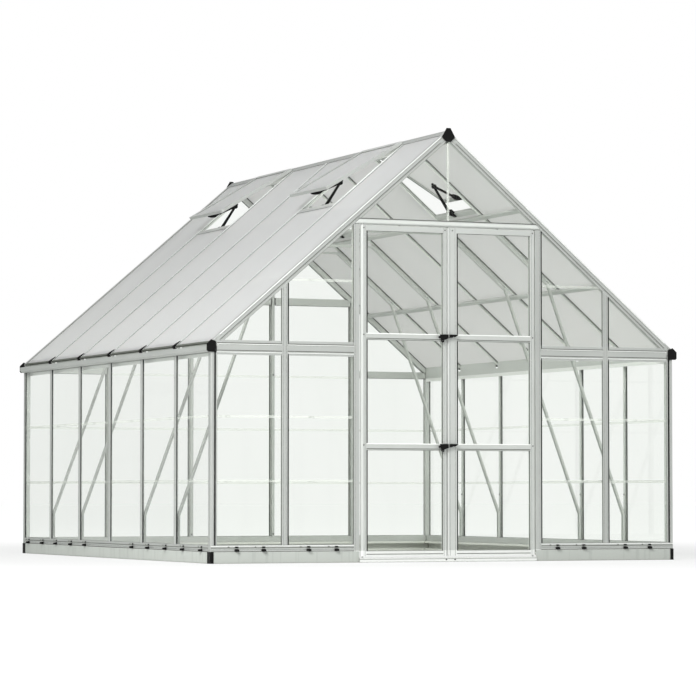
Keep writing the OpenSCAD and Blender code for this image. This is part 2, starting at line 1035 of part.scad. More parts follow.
// Collar tie, end on: a level tie whose ends bend down under the roof bars to the knee braces.
// A wall makes it smaller by that much, and open towards the roof
module tie_outline(wall) {
    top = collar_z + collar_h;
    open = wall > 0 ? 1 : 0;
    line = beside(brace_path, brace_d + seat_gap + wall);
    tip = line[2] + 2 * arm_d * brace_dir;
    difference() {
        intersection() {
            gable_region(roof_bar_d - open);
            translate([-half_w, brace_bend_z])
                square([body_w, top + open - brace_bend_z]);
        }
        intersection() {
            gable_region(roof_bar_d + arm_d - wall);
            translate([-half_w, 0])
                square([body_w, collar_z + wall]);
        }
        for (m = [0, 1])
            mirror([m, 0])
                polygon([line[1], tip, [half_w, tip[1]], [half_w, line[1][1]]]);
    }
}

module collar_ties() {
    color(silver)
        difference() {
            in_braced_frames(brace_w)
                tie_outline(0);
            in_braced_frames(brace_w - 2 * flange_t)
                tie_outline(flange_t);
        }
}

// Heights of the three stacked sheets of a wall
function stack_z(i) = [
    i == 0 ? sill_top - slot_in + edge_gap : joint_z[i - 1] + sheet_gap / 2,
    i == 2 ? rail_z + slot_in - edge_gap : joint_z[i] - sheet_gap / 2
];

module side_panes() {
    for (k = [0:side_bays - 1])
        for (i = [0:2]) {
            y0 = k == 0 ? front_y + post_edge : frame_y(k) + web_edge;
            y1 = k == side_bays - 1 ? back_y - post_edge : frame_y(k + 1) - web_edge;
            translate([half_w - pane_x0 - pane_t, y0, stack_z(i)[0]])
                cube([pane_t, y1 - y0, stack_z(i)[1] - stack_z(i)[0]]);
        }
}

module left_panes() {
    color(clear)
        mirror([1, 0, 0])
            side_panes();
}

module right_panes() {
    color(clear)
        side_panes();
}

module back_panes() {
    over = slot_in - edge_gap;
    color(clear)
        for (k = [0:back_bays - 1]) {
            x0 = k == 0 ? wall_edge - half_w : k * back_bay - half_w + web_edge;
            x1 = k == back_bays - 1 ? half_w - wall_edge : (k + 1) * back_bay - half_w - web_edge;
            for (i = [0:1])
                gable_sheet(back_y, -1, x0, x1, stack_z(i)[0], stack_z(i)[1]);
            if (k == 0 || k == back_bays - 1) {
                gable_sheet(back_y, -1, x0, x1, stack_z(2)[0], stack_z(2)[1]);
                gable_sheet(back_y, -1, x0, x1, rail_z + back_rail_h - over, ridge_h);
            }
            else {
                gable_sheet(back_y, -1, x0, x1, stack_z(2)[0], rail_z - sheet_gap / 2);
                gable_sheet(back_y, -1, x0, x1, rail_z + sheet_gap / 2, tie_z + over);
                gable_sheet(back_y, -1, x0, x1, tie_z + tie_h - over, ridge_h);
            }
        }
}

module front_panes() {
    over = slot_in - edge_gap;
    outer = half_w - wall_edge;
    inner = door_post_x + bar_face / 2 - over;
    color(clear) {
        both_sides() {
            for (x = [[inner, mullion_x - web_edge], [mullion_x + web_edge, outer]])
                for (i = [0:2])
                    gable_sheet(front_y, 1, x[0], x[1], stack_z(i)[0], stack_z(i)[1]);
            gable_sheet(front_y, 1, mullion_x + web_edge, outer, rail_top - over, ridge_h);
            gable_sheet(front_y, 1, inner, mullion_x - web_edge, rail_top - over, front_joint_z - sheet_gap / 2);
            gable_sheet(front_y, 1, inner, mullion_x - web_edge, front_joint_z + sheet_gap / 2, header_z);
            gable_sheet(front_y, 1, sheet_gap / 2, door_post_x, header_z + header_h - over, ridge_h);
        }
    }
}

module side_strips() {
    w = bar_face / 2 + edge_gap;
    for (k = [0:side_bays - 1])
        for (z = joint_z) {
            y0 = k == 0 ? front_y + post_w + edge_gap : frame_y(k) + w;
            y1 = k == side_bays - 1 ? back_y - post_w - edge_gap : frame_y(k + 1) - w;
            translate([-pane_x0, 0, 0])
                along_side(y0, y1)
                    strip_outline(z);
        }
}

// Upright clear strip between the two sheets over the doors
module centre_strip() {
    intersection() {
        translate([0, front_y + pane_x0, header_z + header_h + edge_gap])
            linear_extrude(ridge_h - header_z)
                rotate(-90)
                    strip_outline(0);
        under_gable(rafter_d + edge_gap);
        translate([-half_w, front_y, 0])
            cube([body_w, bar_face, ridge_h - ridge_d]);
    }
}

// Clear H strips that join the sheets
module pane_strips() {
    w = bar_face / 2 + edge_gap;
    color(clear) {
        both_sides() {
            side_strips();
            translate([0, pane_x0, 0]) {
                for (z = joint_z) {
                    along_front(door_post_x + w, mullion_x - w)
                        strip_outline(z);
                    along_front(mullion_x + w, half_w - post_w - edge_gap)
                        strip_outline(z);
                }
                intersection() {
                    along_front(door_post_x + w, mullion_x - w)
                        strip_outline(front_joint_z);
                    under_gable(rafter_d + edge_gap);
                }
            }
        }
        centre_strip();
        translate([0, -pane_x0, 0])
            for (k = [0:back_bays - 1])
                for (z = k == 0 || k == back_bays - 1 ? joint_z : concat(joint_z, rail_z))
                    along_back(
                        k == 0 ? post_w + edge_gap - half_w : k * back_bay - half_w + w,
                        k == back_bays - 1 ? half_w - post_w - edge_gap : (k + 1) * back_bay - half_w - w
                    )
                        strip_outline(z);
    }
}

module slope_sheets() {
    on_slope()
        for (k = [0:side_bays - 1]) {
            vent = len(search(k, vent_bays)) > 0;
            y0 = k == 0 ? front_y + bar_face - slot_in + edge_gap : frame_y(k) + web_edge;
            y1 = k == side_bays - 1 ? back_y - bar_face + slot_in - edge_gap : frame_y(k + 1) - web_edge;
            s1 = vent ? slope_len - vent_bar_s + slot_in - edge_gap : slope_len - ridge_slot_s - edge_gap;
            translate([-flange_t - seat_gap - roof_t, y0, -sheet_over])
                cube([roof_t, y1 - y0, s1 + sheet_over]);
        }
}

module left_roof_sheets() {
    color(milky)
        mirror([1, 0, 0])
            slope_sheets();
}

module right_roof_sheets() {
    color(milky)
        slope_sheets();
}

// Places children on each open vent: x outwards, y along the house from the bay's middle,
// z down the sash from its hinge line on the ridge beam
module on_vents() {
    hinge = roof_pt(hinge_s, 0);
    both_sides()
        for (k = vent_bays)
            translate([hinge[0], frame_y(k + 0.5), hinge[1]])
                rotate([0, 90 + slope - vent_angle, 0])
                    mirror([1, 0, 0])
                        children();
}

// Vent sashes: four rails round a slot for the sheet
module vent_frames() {
    w = sash_w;
    color(silver)
        on_vents()
            difference() {
                translate([0, -w / 2, 0])
                    cube([sash_t, w, vent_l]);
                translate([-1, sash_face - w / 2, sash_face])
                    cube([sash_t + 2, w - 2 * sash_face, vent_l - 2 * sash_face]);
                translate([sash_t / 2 - roof_slot / 2, sash_face - slot_in - w / 2, sash_face - slot_in])
                    cube([roof_slot, w - 2 * (sash_face - slot_in), vent_l - 2 * (sash_face - slot_in)]);
            }
}

module vent_sheets() {
    w = sash_w;
    e = sash_face - slot_in + edge_gap;
    color(milky)
        on_vents()
            translate([sash_t / 2 - roof_t / 2, e - w / 2, e])
                cube([roof_t, w - 2 * e, vent_l - 2 * e]);
}

// One link of a stay between two points of a frame plane, with round ends of the radii ra and rb
module link(a, b, ra, rb, y) {
    translate([0, y, 0])
        rotate([90, 0, 0])
            linear_extrude(link_t) {
                polygon([
                    a + ra * normal(a, b), b + rb * normal(a, b),
                    b - rb * normal(a, b), a - ra * normal(a, b)
                ]);
                translate(a)
                    circle(ra);
                translate(b)
                    circle(rb);
            }
}

// Point of a frame plane at distances a and b from p and q, on the left of the way from p to q
function meeting(p, q, a, b) =
    let (d = norm(q - p), x = (a * a - b * b + d * d) / (2 * d))
    p + x * (q - p) / d + sqrt(a * a - x * x) * normal(p, q);

// A point of the right-hand sash, from its distance down from the hinge and its depth inside
function sash_pt(s, w) =
    let (a = slope - vent_angle)
    roof_pt(hinge_s, 0) + s * [cos(a), -sin(a)] - w * [sin(a), cos(a)];

// Shape of a frame plane with a thickness along the house, centred
module across(thick) {
    translate([0, thick / 2, 0])
        rotate([90, 0, 0])
            linear_extrude(thick)
                children();
}

// Folding stays that hold the vents open: wedge brackets on the bar and on the sash, two links,
// and a thick elbow with a small knob between them
module vent_stays() {
    w = link_w / 2;
    g = seat_gap;
    b = bracket_w;
    bar_s = vent_bar_s - bar_face;
    under = roof_bar_d + g;
    foot = roof_pt(bar_s - 1.36 * b, roof_bar_d + 0.45 * b);
    tip = sash_pt(vent_l - 3 * b, 1.14 * b);
    elbow = meeting(foot, tip, low_link_l, high_link_l);
    color(black)
        both_sides()
            for (k = vent_bays)
                translate([0, frame_y(k + 0.5), 0]) {
                    link(foot, elbow, foot_w / 2, w, link_t);
                    link(elbow, tip, w, w, 0);
                    across(bracket_w)
                        polygon([
                            roof_pt(bar_s - 2 * b, under + 0.36 * b), roof_pt(bar_s - 1.6 * b, under + b),
                            roof_pt(bar_s - 0.36 * b, under + b), roof_pt(bar_s + sash_face, under + 0.27 * b),
                            roof_pt(bar_s + sash_face, under), roof_pt(bar_s - g, under),
                            roof_pt(bar_s - g, under / 2), roof_pt(bar_s - sash_face, under / 2)
                        ]);
                    across(bracket_w)
                        polygon([
                            sash_pt(vent_l - 3.8 * b, 0.64 * b), sash_pt(vent_l - 3.45 * b, 1.55 * b),
                            sash_pt(vent_l - 2.36 * b, 1.64 * b), sash_pt(vent_l - sash_face, 1.1 * b),
                            sash_pt(vent_l - sash_face / 2, 0.55 * b), sash_pt(vent_l - sash_face / 2, g),
                            sash_pt(vent_l - sash_face, g)
                        ]);
                    translate([elbow[0], 0, elbow[1]]) {
                        rotate([90, 0, 0])
                            cylinder(h = 4 * link_t, r = 2 * w, center = true);
                        translate([-1.6 * w, 0, 2 * w])
                            rotate([90, 0, 0])
                                cylinder(h = 2 * link_t, r = w, center = true);
                    }
                }
}

// Frame of a door leaf on the right: rounded hinge stile, grooved closing stile, rails and pins
module leaf_frame(x0, close_w) {
    r = leaf_t / 2;
    y0 = front_y - leaf_proud;
    inner = leaf_out - stile_w;
    difference() {
        union() {
            translate([x0, y0, leaf_z])
                cube([pivot_x - x0, leaf_t, leaf_h]);
            translate([pivot_x, pivot_y, leaf_z])
                cylinder(h = leaf_h, r = r);
            translate([pivot_x, pivot_y, threshold_h - pivot_in])
                cylinder(h = header_z - threshold_h + 2 * pivot_in, r = pin_r);
        }
        for (z = leaf_openings) {
            translate([x0 + close_w, y0 - 1, z[0]])
                cube([inner - x0 - close_w, leaf_t + 2, z[1] - z[0]]);
            translate([x0 + close_w - slot_in, y0 + r - pane_slot / 2, z[0] - slot_in])
                cube([inner - x0 - close_w + 2 * slot_in, pane_slot, z[1] - z[0] + 2 * slot_in]);
        }
        for (x = [x0 + close_w / 5, x0 + close_w * 4 / 5, inner + stile_w / 4])
            translate([x - groove_w / 2, y0 - 1, leaf_z - 1])
                cube([groove_w, groove_d + 1, leaf_h + 2]);
    }
}

// The three panes of a leaf on the right
module leaf_panes(x0, close_w) {
    y0 = front_y - leaf_proud + leaf_t / 2 - pane_t / 2;
    inner = leaf_out - stile_w;
    e = slot_in - edge_gap;
    for (z = leaf_openings)
        translate([x0 + close_w - e, y0, z[0] - e])
            cube([inner - x0 - close_w + 2 * e, pane_t, z[1] - z[0] + 2 * e]);
}

module left_door_frame() {
    color(silver)
        mirror([1, 0, 0])
            leaf_frame(left_edge, left_stile_w);
}

module left_door_panes() {
    color(clear)
        mirror([1, 0, 0])
            leaf_panes(left_edge, left_stile_w);
}

module right_door_frame() {
    color(silver)
        leaf_frame(right_edge, right_stile_w);
}

module right_door_panes() {
    color(clear)
        leaf_panes(right_edge, right_stile_w);
}

// Extrudes an outline (x, height above the mid rail) outwards from the door's face
module on_door(z, from, thick) {
    translate([0, front_y - leaf_proud - from, z])
        rotate([90, 0, 0])
            linear_extrude(thick)
                children();
}

// Black thumb latches of the left leaf: boss, lever with an eye and thumb piece
module left_door_latches() {
    eye = [-left_edge - 0.68 * latch_l, -0.37 * latch_l];
    post = latch_out / 2;
    color(black)
        for (z = mid_rail_z) {
            on_door(z, 0, post)
                translate([-left_edge - latch_l / 4, latch_l / 7])
                    circle(0.18 * latch_l);
            on_door(z, post, lever_t)
                difference() {
                    union() {
                        translate([-left_edge, 0])
                            polygon(latch_l * [
                                [-1, 0.35], [0, 0.35], [0, -0.07], [-0.52, -0.28], [-0.85, -0.33], [-0.93, 0]
                            ]);
                        translate(eye)
                            circle(0.17 * latch_l);
                    }
                    translate(eye)
                        circle(0.06 * latch_l);
                }
            on_door(z, post, latch_out - post)
                translate([-left_edge - 1.05 * latch_l, 0.04 * latch_l])
                    circle(0.13 * latch_l);
        }
}

// Black keepers of the right leaf, in line with the latches
module right_door_keepers() {
    post = latch_out / 2;
    color(black)
        for (z = mid_rail_z) {
            on_door(z, 0, post)
                translate([right_edge + 0.37 * latch_l, 0.18 * latch_l])
                    circle(0.15 * latch_l);
            on_door(z, post, lever_t)
                translate([right_edge, 0])
                    polygon(latch_l * [
                        [0, 0.35], [1.04, 0.35], [0.93, 0.22], [0.78, 0.13], [0.63, 0.06], [0.44, 0.11], [0, -0.04]
                    ]);
        }
}

base_left();
base_right();
base_back();
base_front();
base_corner_caps();
door_threshold();
side_sills();
end_sills();
corner_posts();
left_studs();
right_studs();
back_mullions();
front_mullions();
door_posts();
door_header();
front_eave_rail();
back_eave_rail();
back_tie_rail();
left_gutter();
right_gutter();
front_rafters();
back_rafters();
left_roof_bars();
right_roof_bars();
vent_bars();
ridge_beam();
roof_end_caps();
bar_end_caps();
left_purlins();
right_purlins();
left_braces();
right_braces();
collar_ties();
left_panes();
right_panes();
back_panes();
front_panes();
pane_strips();
left_roof_sheets();
right_roof_sheets();
vent_frames();
vent_sheets();
vent_stays();
left_door_frame();
left_door_panes();
left_door_latches();
right_door_frame();
right_door_panes();
right_door_keepers();
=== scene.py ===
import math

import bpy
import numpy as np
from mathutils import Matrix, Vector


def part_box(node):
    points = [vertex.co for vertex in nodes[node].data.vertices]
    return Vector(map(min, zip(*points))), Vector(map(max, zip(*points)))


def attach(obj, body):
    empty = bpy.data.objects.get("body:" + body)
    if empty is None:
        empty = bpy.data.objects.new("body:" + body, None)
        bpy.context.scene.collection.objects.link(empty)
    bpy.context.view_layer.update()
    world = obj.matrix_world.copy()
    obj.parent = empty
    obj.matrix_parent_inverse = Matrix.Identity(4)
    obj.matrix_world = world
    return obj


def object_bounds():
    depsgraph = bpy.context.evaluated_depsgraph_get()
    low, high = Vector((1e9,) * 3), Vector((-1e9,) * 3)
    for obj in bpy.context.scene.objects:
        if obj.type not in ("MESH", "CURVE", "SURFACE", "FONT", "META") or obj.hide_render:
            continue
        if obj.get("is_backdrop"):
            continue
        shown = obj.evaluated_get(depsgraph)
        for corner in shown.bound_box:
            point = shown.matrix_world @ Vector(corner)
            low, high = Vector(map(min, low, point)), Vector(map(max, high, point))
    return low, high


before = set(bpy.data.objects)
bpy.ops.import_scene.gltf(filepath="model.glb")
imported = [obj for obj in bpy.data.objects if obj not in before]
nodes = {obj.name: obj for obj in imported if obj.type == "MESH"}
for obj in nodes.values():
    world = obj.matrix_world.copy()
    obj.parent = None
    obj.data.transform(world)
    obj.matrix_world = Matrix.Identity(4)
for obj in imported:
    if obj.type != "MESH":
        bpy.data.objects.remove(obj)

# %% [markdown]
# # A hobby greenhouse with an aluminium frame
# The frame, the sheets and the doors come in as the imported model, each piece already in its
# place in metres. This file gives them their finishes, and adds the small things that a
# maker would screw, press or clip on at the end: clips, screws, bolts, seals and trims.
# The box of the whole model is kept first, so that at the end its difference from the finished model's box
# can be printed.

cad_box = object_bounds()
print(len(nodes), "pieces came in, and the whole is", [round(b - a, 3) for a, b in zip(*cad_box)], "m")

# %% [markdown]
# ## The camera
# A product picture of a building is taken from far away with a long lens, so that upright
# bars stay upright. The place, the turn and the lens were worked out from the corners of
# the greenhouse itself: its width, length, eaves and ridge are known, and where they stand in
# the picture fixes the camera. It stands low, at knee height, and looks up a little.

# %% Set the camera
lens = bpy.data.cameras.new("long_lens")
lens.sensor_fit = "HORIZONTAL"
lens.sensor_width = 36
lens.lens = 167.48
camera = bpy.data.objects.new("camera", lens)
camera.location = (-8.0874, -19.3737, 0.4088)
camera.rotation_euler = [math.radians(a) for a in (92.565, 0, -22.938)]
bpy.context.scene.collection.objects.link(camera)
bpy.context.scene.camera = camera
bpy.context.scene.view_settings.view_transform = "Standard"
print("the camera stands", round(Vector(camera.location).length, 1), "m from the middle of the greenhouse")

# %% [markdown]
# ## Light
# The air round the greenhouse is a soft even white. The eye and a clear sheet see plain
# white there, while the light that it really sheds, on matt things and in mirrors, is set
# apart and a good deal lower, so that pale bars keep their shading. Light Path tells the
# kinds of ray apart. One large lamp from the front, a little left, makes the front faces of
# the bars the lightest and leaves their right sides dark, and a weak one from the right keeps
# those readable.

# %% The air and the lamps
def wire(tree, kind, settings=None, **sources):
    """One node of a kind, with its settings. Each source is a socket to link, or a value to set, and
    it is named after its input, or i and a number for the input with that number."""
    node = tree.nodes.new(kind)
    for key, value in (settings or {}).items():
        setattr(node, key, value)
    for key, value in sources.items():
        by_number = key[0] == "i" and key[1:].isdigit()
        socket = node.inputs[int(key[1:]) if by_number else key.replace("_", " ")]
        if isinstance(value, bpy.types.NodeSocket):
            tree.links.new(value, socket)
        else:
            socket.default_value = value
    return node


def reckoned(tree, operation, a, b=0.0, clamped=False):
    """What an operation makes of the values a and b, kept from 0 to 1 if clamped."""
    settings = {"operation": operation, "use_clamp": clamped}
    return wire(tree, "ShaderNodeMath", settings, i0=a, i1=b).outputs[0]


def mixed(tree, share, first, second):
    """The first shader where share is 0 and the second where it is 1."""
    return wire(tree, "ShaderNodeMixShader", None, i0=share, i1=first.outputs[0], i2=second.outputs[0])


def show(shader, out):
    """Joins a shader to the output of its material or of the air."""
    out.id_data.links.new(shader.outputs[0], out.inputs["Surface"])


def rays_that_see_white(tree):
    """1 for camera and transmission rays, 0 for the rest: the two added, at most 1."""
    path = tree.nodes.new("ShaderNodeLightPath").outputs
    return reckoned(tree, "ADD", path["Is Camera Ray"], path["Is Transmission Ray"], clamped=True)


air = bpy.data.worlds.new("soft_white_air")
air.use_nodes = True
tree = air.node_tree
tree.nodes.clear()
shed = wire(tree, "ShaderNodeBackground", None, Color=(0.965, 1.0, 0.97, 1), Strength=0.42)
seen = wire(tree, "ShaderNodeBackground", None, Color=(1, 1, 1, 1), Strength=1.0)
out = tree.nodes.new("ShaderNodeOutputWorld")
show(mixed(tree, rays_that_see_white(tree), shed, seen), out)
bpy.context.scene.world = air


def lamp(name, place, aim, size, power):
    """A square soft lamp of that size in metres and power in watts, turned towards aim."""
    data = bpy.data.lights.new(name, "AREA")
    data.size = size
    data.energy = power
    one = bpy.data.objects.new(name, data)
    one.location = place
    one.rotation_euler = (Vector(aim) - Vector(place)).to_track_quat("-Z", "Y").to_euler()
    bpy.context.scene.collection.objects.link(one)
    return one


lamps = [
    lamp("key_front_left", (-7.6, -9.0, 8.0), (0, 0, 1.2), 5.0, 1950),
    lamp("fill_right", (9.0, -6.0, 5.0), (0, 0, 1.0), 6.0, 200),
]
print(len(lamps), "lamps, and air that sheds", shed.inputs["Strength"].default_value)

# %% [markdown]
# ## The floor
# A plain pale floor carries the shadow. For the rays that the eye sees it gives most of its
# white itself and takes the rest from the lamps, so that it meets the white air with no
# edge, also behind the clear sheets, and the shadow close to the base still shows. Far from
# the greenhouse the lamps give less, so there the floor's own light rises with the distance
# from the middle. Other rays meet plain matt white, so the floor throws an honest amount of
# light up at the undersides.

# %% Lay the floor
def grid_faces(rows, columns, closed=False):
    """Four-cornered faces of a grid of points; closed joins the last column to the first."""
    last = columns if closed else columns - 1
    r, c = np.meshgrid(np.arange(rows - 1), np.arange(last), indexing="ij")
    a = r * columns + c
    b = r * columns + (c + 1) % columns
    return np.stack([a, b, b + columns, a + columns], axis=-1).reshape(-1, 4)


def new_mesh(name, points, faces, material, smooth=False):
    """One object at the origin from an array of points and a list of faces."""
    mesh = bpy.data.meshes.new(name)
    mesh.from_pydata(np.asarray(points).tolist(), [], [list(map(int, f)) for f in faces])
    mesh.materials.append(material)
    mesh.polygons.foreach_set("use_smooth", np.full(len(mesh.polygons), smooth))
    mesh.update()
    one = bpy.data.objects.new(name, mesh)
    bpy.context.scene.collection.objects.link(one)
    return one


def new_material(name):
    """An empty material: its tree, and its output node."""
    made = bpy.data.materials.new(name)
    made.use_nodes = True
    made.node_tree.nodes.clear()
    return made, made.node_tree, made.node_tree.nodes.new("ShaderNodeOutputMaterial")


def own_metres(tree):
    """The piece's own coordinates, in metres."""
    return tree.nodes.new("ShaderNodeTexCoord").outputs["Object"]


def ranged(tree, value, low, high, at_low, at_high, smooth=False):
    """A value that goes from at_low to at_high while the given one goes from low to high."""
    curve = {"interpolation_type": "SMOOTHSTEP" if smooth else "LINEAR"}
    return wire(tree, "ShaderNodeMapRange", curve, Value=value, From_Min=low, From_Max=high,
                To_Min=at_low, To_Max=at_high).outputs[0]


pale_floor, tree, out = new_material("pale_floor")
away = wire(tree, "ShaderNodeVectorMath", {"operation": "LENGTH"}, i0=own_metres(tree))
own_light = ranged(tree, away.outputs["Value"], 2.0, 9.0, 0.66, 0.9, smooth=True)
matt = wire(tree, "ShaderNodeBsdfDiffuse", None, Color=(0.82, 0.82, 0.82, 1))
faint = wire(tree, "ShaderNodeBsdfDiffuse", None, Color=(0.24, 0.24, 0.24, 1))
glow = wire(tree, "ShaderNodeEmission", None, Strength=own_light)
both = wire(tree, "ShaderNodeAddShader", None, i0=faint.outputs[0], i1=glow.outputs[0])
show(mixed(tree, rays_that_see_white(tree), matt, both), out)

spread = np.linspace(-90, 90, 13)
fx, fy = np.meshgrid(spread, spread, indexing="ij")
floor_points = np.stack([fx, fy, np.zeros_like(fx)], axis=-1).reshape(-1, 3)
floor = new_mesh("studio_floor", floor_points, grid_faces(13, 13)[:, ::-1], pale_floor)
floor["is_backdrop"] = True
print("the floor is", spread[-1] - spread[0], "m wide")

# %% [markdown]
# ## Effects that several finishes share
# Metal, plastic and painted steel all have softened edges, a fine grain, a little dust, and
# narrow places where light hardly comes, which are painted darker as painted shade. On the
# aluminium the edges get a painted highlight and the upward faces painted light. Each effect
# could be drawn again in every material, but then a change has to be made many times. A node
# group is built once and placed in each material with its own values.
#
# * **softened edges**: Bevel looks round the point within a small radius and gives a rounded
#   direction; where that differs from the flat one, there is an edge. Aluminium edges get a painted
#   highlight, and other edges are rubbed lighter.
# * **grain**: two noises, one coarse and one fine, in the piece's own metres.
# * **dust and top light**: faces that look up, in soft patches. Most finishes lay dust there,
#   and the aluminium paints light there.
# * **narrow places**: grooves, slots and joints are painted darker, as painted shade.
#   Ambient occlusion within a few millimetres finds them.

# %% The four groups
def new_group(name, takes, gives):
    """An empty node group with named inputs (kind, value) and outputs (kind)."""
    group = bpy.data.node_groups.new(name, "ShaderNodeTree")
    for label, (kind, value) in takes.items():
        socket = group.interface.new_socket(label, in_out="INPUT", socket_type=kind)
        socket.default_value = value
    for label, kind in gives.items():
        group.interface.new_socket(label, in_out="OUTPUT", socket_type=kind)
    return group, group.nodes.new("NodeGroupInput"), group.nodes.new("NodeGroupOutput")


FLOAT = "NodeSocketFloat"
VECTOR = "NodeSocketVector"

edges, take, give = new_group(
    "softened_edges", {"Radius": (FLOAT, 0.001)}, {"Normal": VECTOR, "Edge": FLOAT})
rounded = wire(edges, "ShaderNodeBevel", {"samples": 4}, Radius=take.outputs["Radius"])
flat = wire(edges, "ShaderNodeNewGeometry")
alike = wire(edges, "ShaderNodeVectorMath", {"operation": "DOT_PRODUCT"},
             i0=rounded.outputs[0], i1=flat.outputs["Normal"])
differs = reckoned(edges, "SUBTRACT", 1.0, alike.outputs["Value"], clamped=True)
sharper = reckoned(edges, "MULTIPLY", differs, 4.0, clamped=True)
edges.links.new(rounded.outputs[0], give.inputs["Normal"])
edges.links.new(sharper, give.inputs["Edge"])

grain, take, give = new_group(
    "grain", {"Place": (VECTOR, (0, 0, 0)), "Coarse": (FLOAT, 6.0), "Fine": (FLOAT, 400.0)},
    {"Cloud": FLOAT, "Speck": FLOAT})
for label, size in (("Cloud", "Coarse"), ("Speck", "Fine")):
    noise = wire(grain, "ShaderNodeTexNoise", None, Vector=take.outputs["Place"],
                 Scale=take.outputs[size], Detail=3.0, Roughness=0.55)
    grain.links.new(noise.outputs["Fac"], give.inputs[label])

# Faces that look up, in soft patches: dust on most finishes, and painted light on the aluminium.
upward_dust_and_light, take, give = new_group(
    "upward_dust_and_light", {"Place": (VECTOR, (0, 0, 0)), "Amount": (FLOAT, 0.3)}, {"Dust and Light": FLOAT})
facing = wire(upward_dust_and_light, "ShaderNodeNewGeometry")
parts = wire(upward_dust_and_light, "ShaderNodeSeparateXYZ", None, Vector=facing.outputs["Normal"])
upward = ranged(upward_dust_and_light, parts.outputs["Z"], 0.3, 1.0, 0.0, 1.0)
patches = wire(upward_dust_and_light, "ShaderNodeTexNoise", None, Vector=take.outputs["Place"], Scale=9.0, Detail=4.0)
lying = reckoned(upward_dust_and_light, "MULTIPLY", upward, patches.outputs["Fac"])
dust_and_light_mask = reckoned(upward_dust_and_light, "MULTIPLY", lying, take.outputs["Amount"], clamped=True)
upward_dust_and_light.links.new(dust_and_light_mask, give.inputs["Dust and Light"])

# Painted shade: the finishes paint darker the narrow places that ambient occlusion finds.
crevice_shade, take, give = new_group("painted_crevice_shade", {"Reach": (FLOAT, 0.006)}, {"Painted Shade": FLOAT})
openness = wire(crevice_shade, "ShaderNodeAmbientOcclusion", {"samples": 3}, Distance=take.outputs["Reach"])
painted_shade_amount = ranged(crevice_shade, openness.outputs["AO"], 0.35, 0.95, 1.0, 0.0)
crevice_shade.links.new(painted_shade_amount, give.inputs["Painted Shade"])
print("groups:", [g.name for g in (edges, grain, upward_dust_and_light, crevice_shade)])

# %% [markdown]
# ## Aluminium bars
# The bars are pressed through a die, so very fine lines run along each of them, and the
# surface is left as it comes: a satin silver, a little green under glass light. The lines
# follow the bar, so the pattern has to know which way a bar runs. One way is to unwrap
# every bar; a simpler one is to squeeze the pattern's space along the bar, which turns a
# fine noise into long streaks. Bars run four ways here: up, across, along and with the slope.
# Grooves and slots are painted darker by the narrow places group, as painted shade, so that
# every bar shows the thin lines that its section gives it. Bars that see the sky are painted
# lighter, some inside are darker, and the tone of each kind is set to what the eye finds there,
# as painted light and shade.

# %% The aluminium finish, once for each way that bars run
def use_group(tree, group, **values):
    """Places a node group in a material's tree, with its own values."""
    return wire(tree, "ShaderNodeGroup", {"node_tree": group}, **values)


def blended(tree, share, low, high):
    """The colour low where share is 0 and high where it is 1."""
    return wire(tree, "ShaderNodeMix", {"data_type": "RGBA"}, i0=share, i6=low, i7=high).outputs[2]


half_w, eave_h, ridge_h = 1.515, 1.287, 2.582
front_y, back_y = -1.805, 1.835
slope = math.atan2(ridge_h - eave_h, half_w)
slope_len = math.hypot(ridge_h - eave_h, half_w)


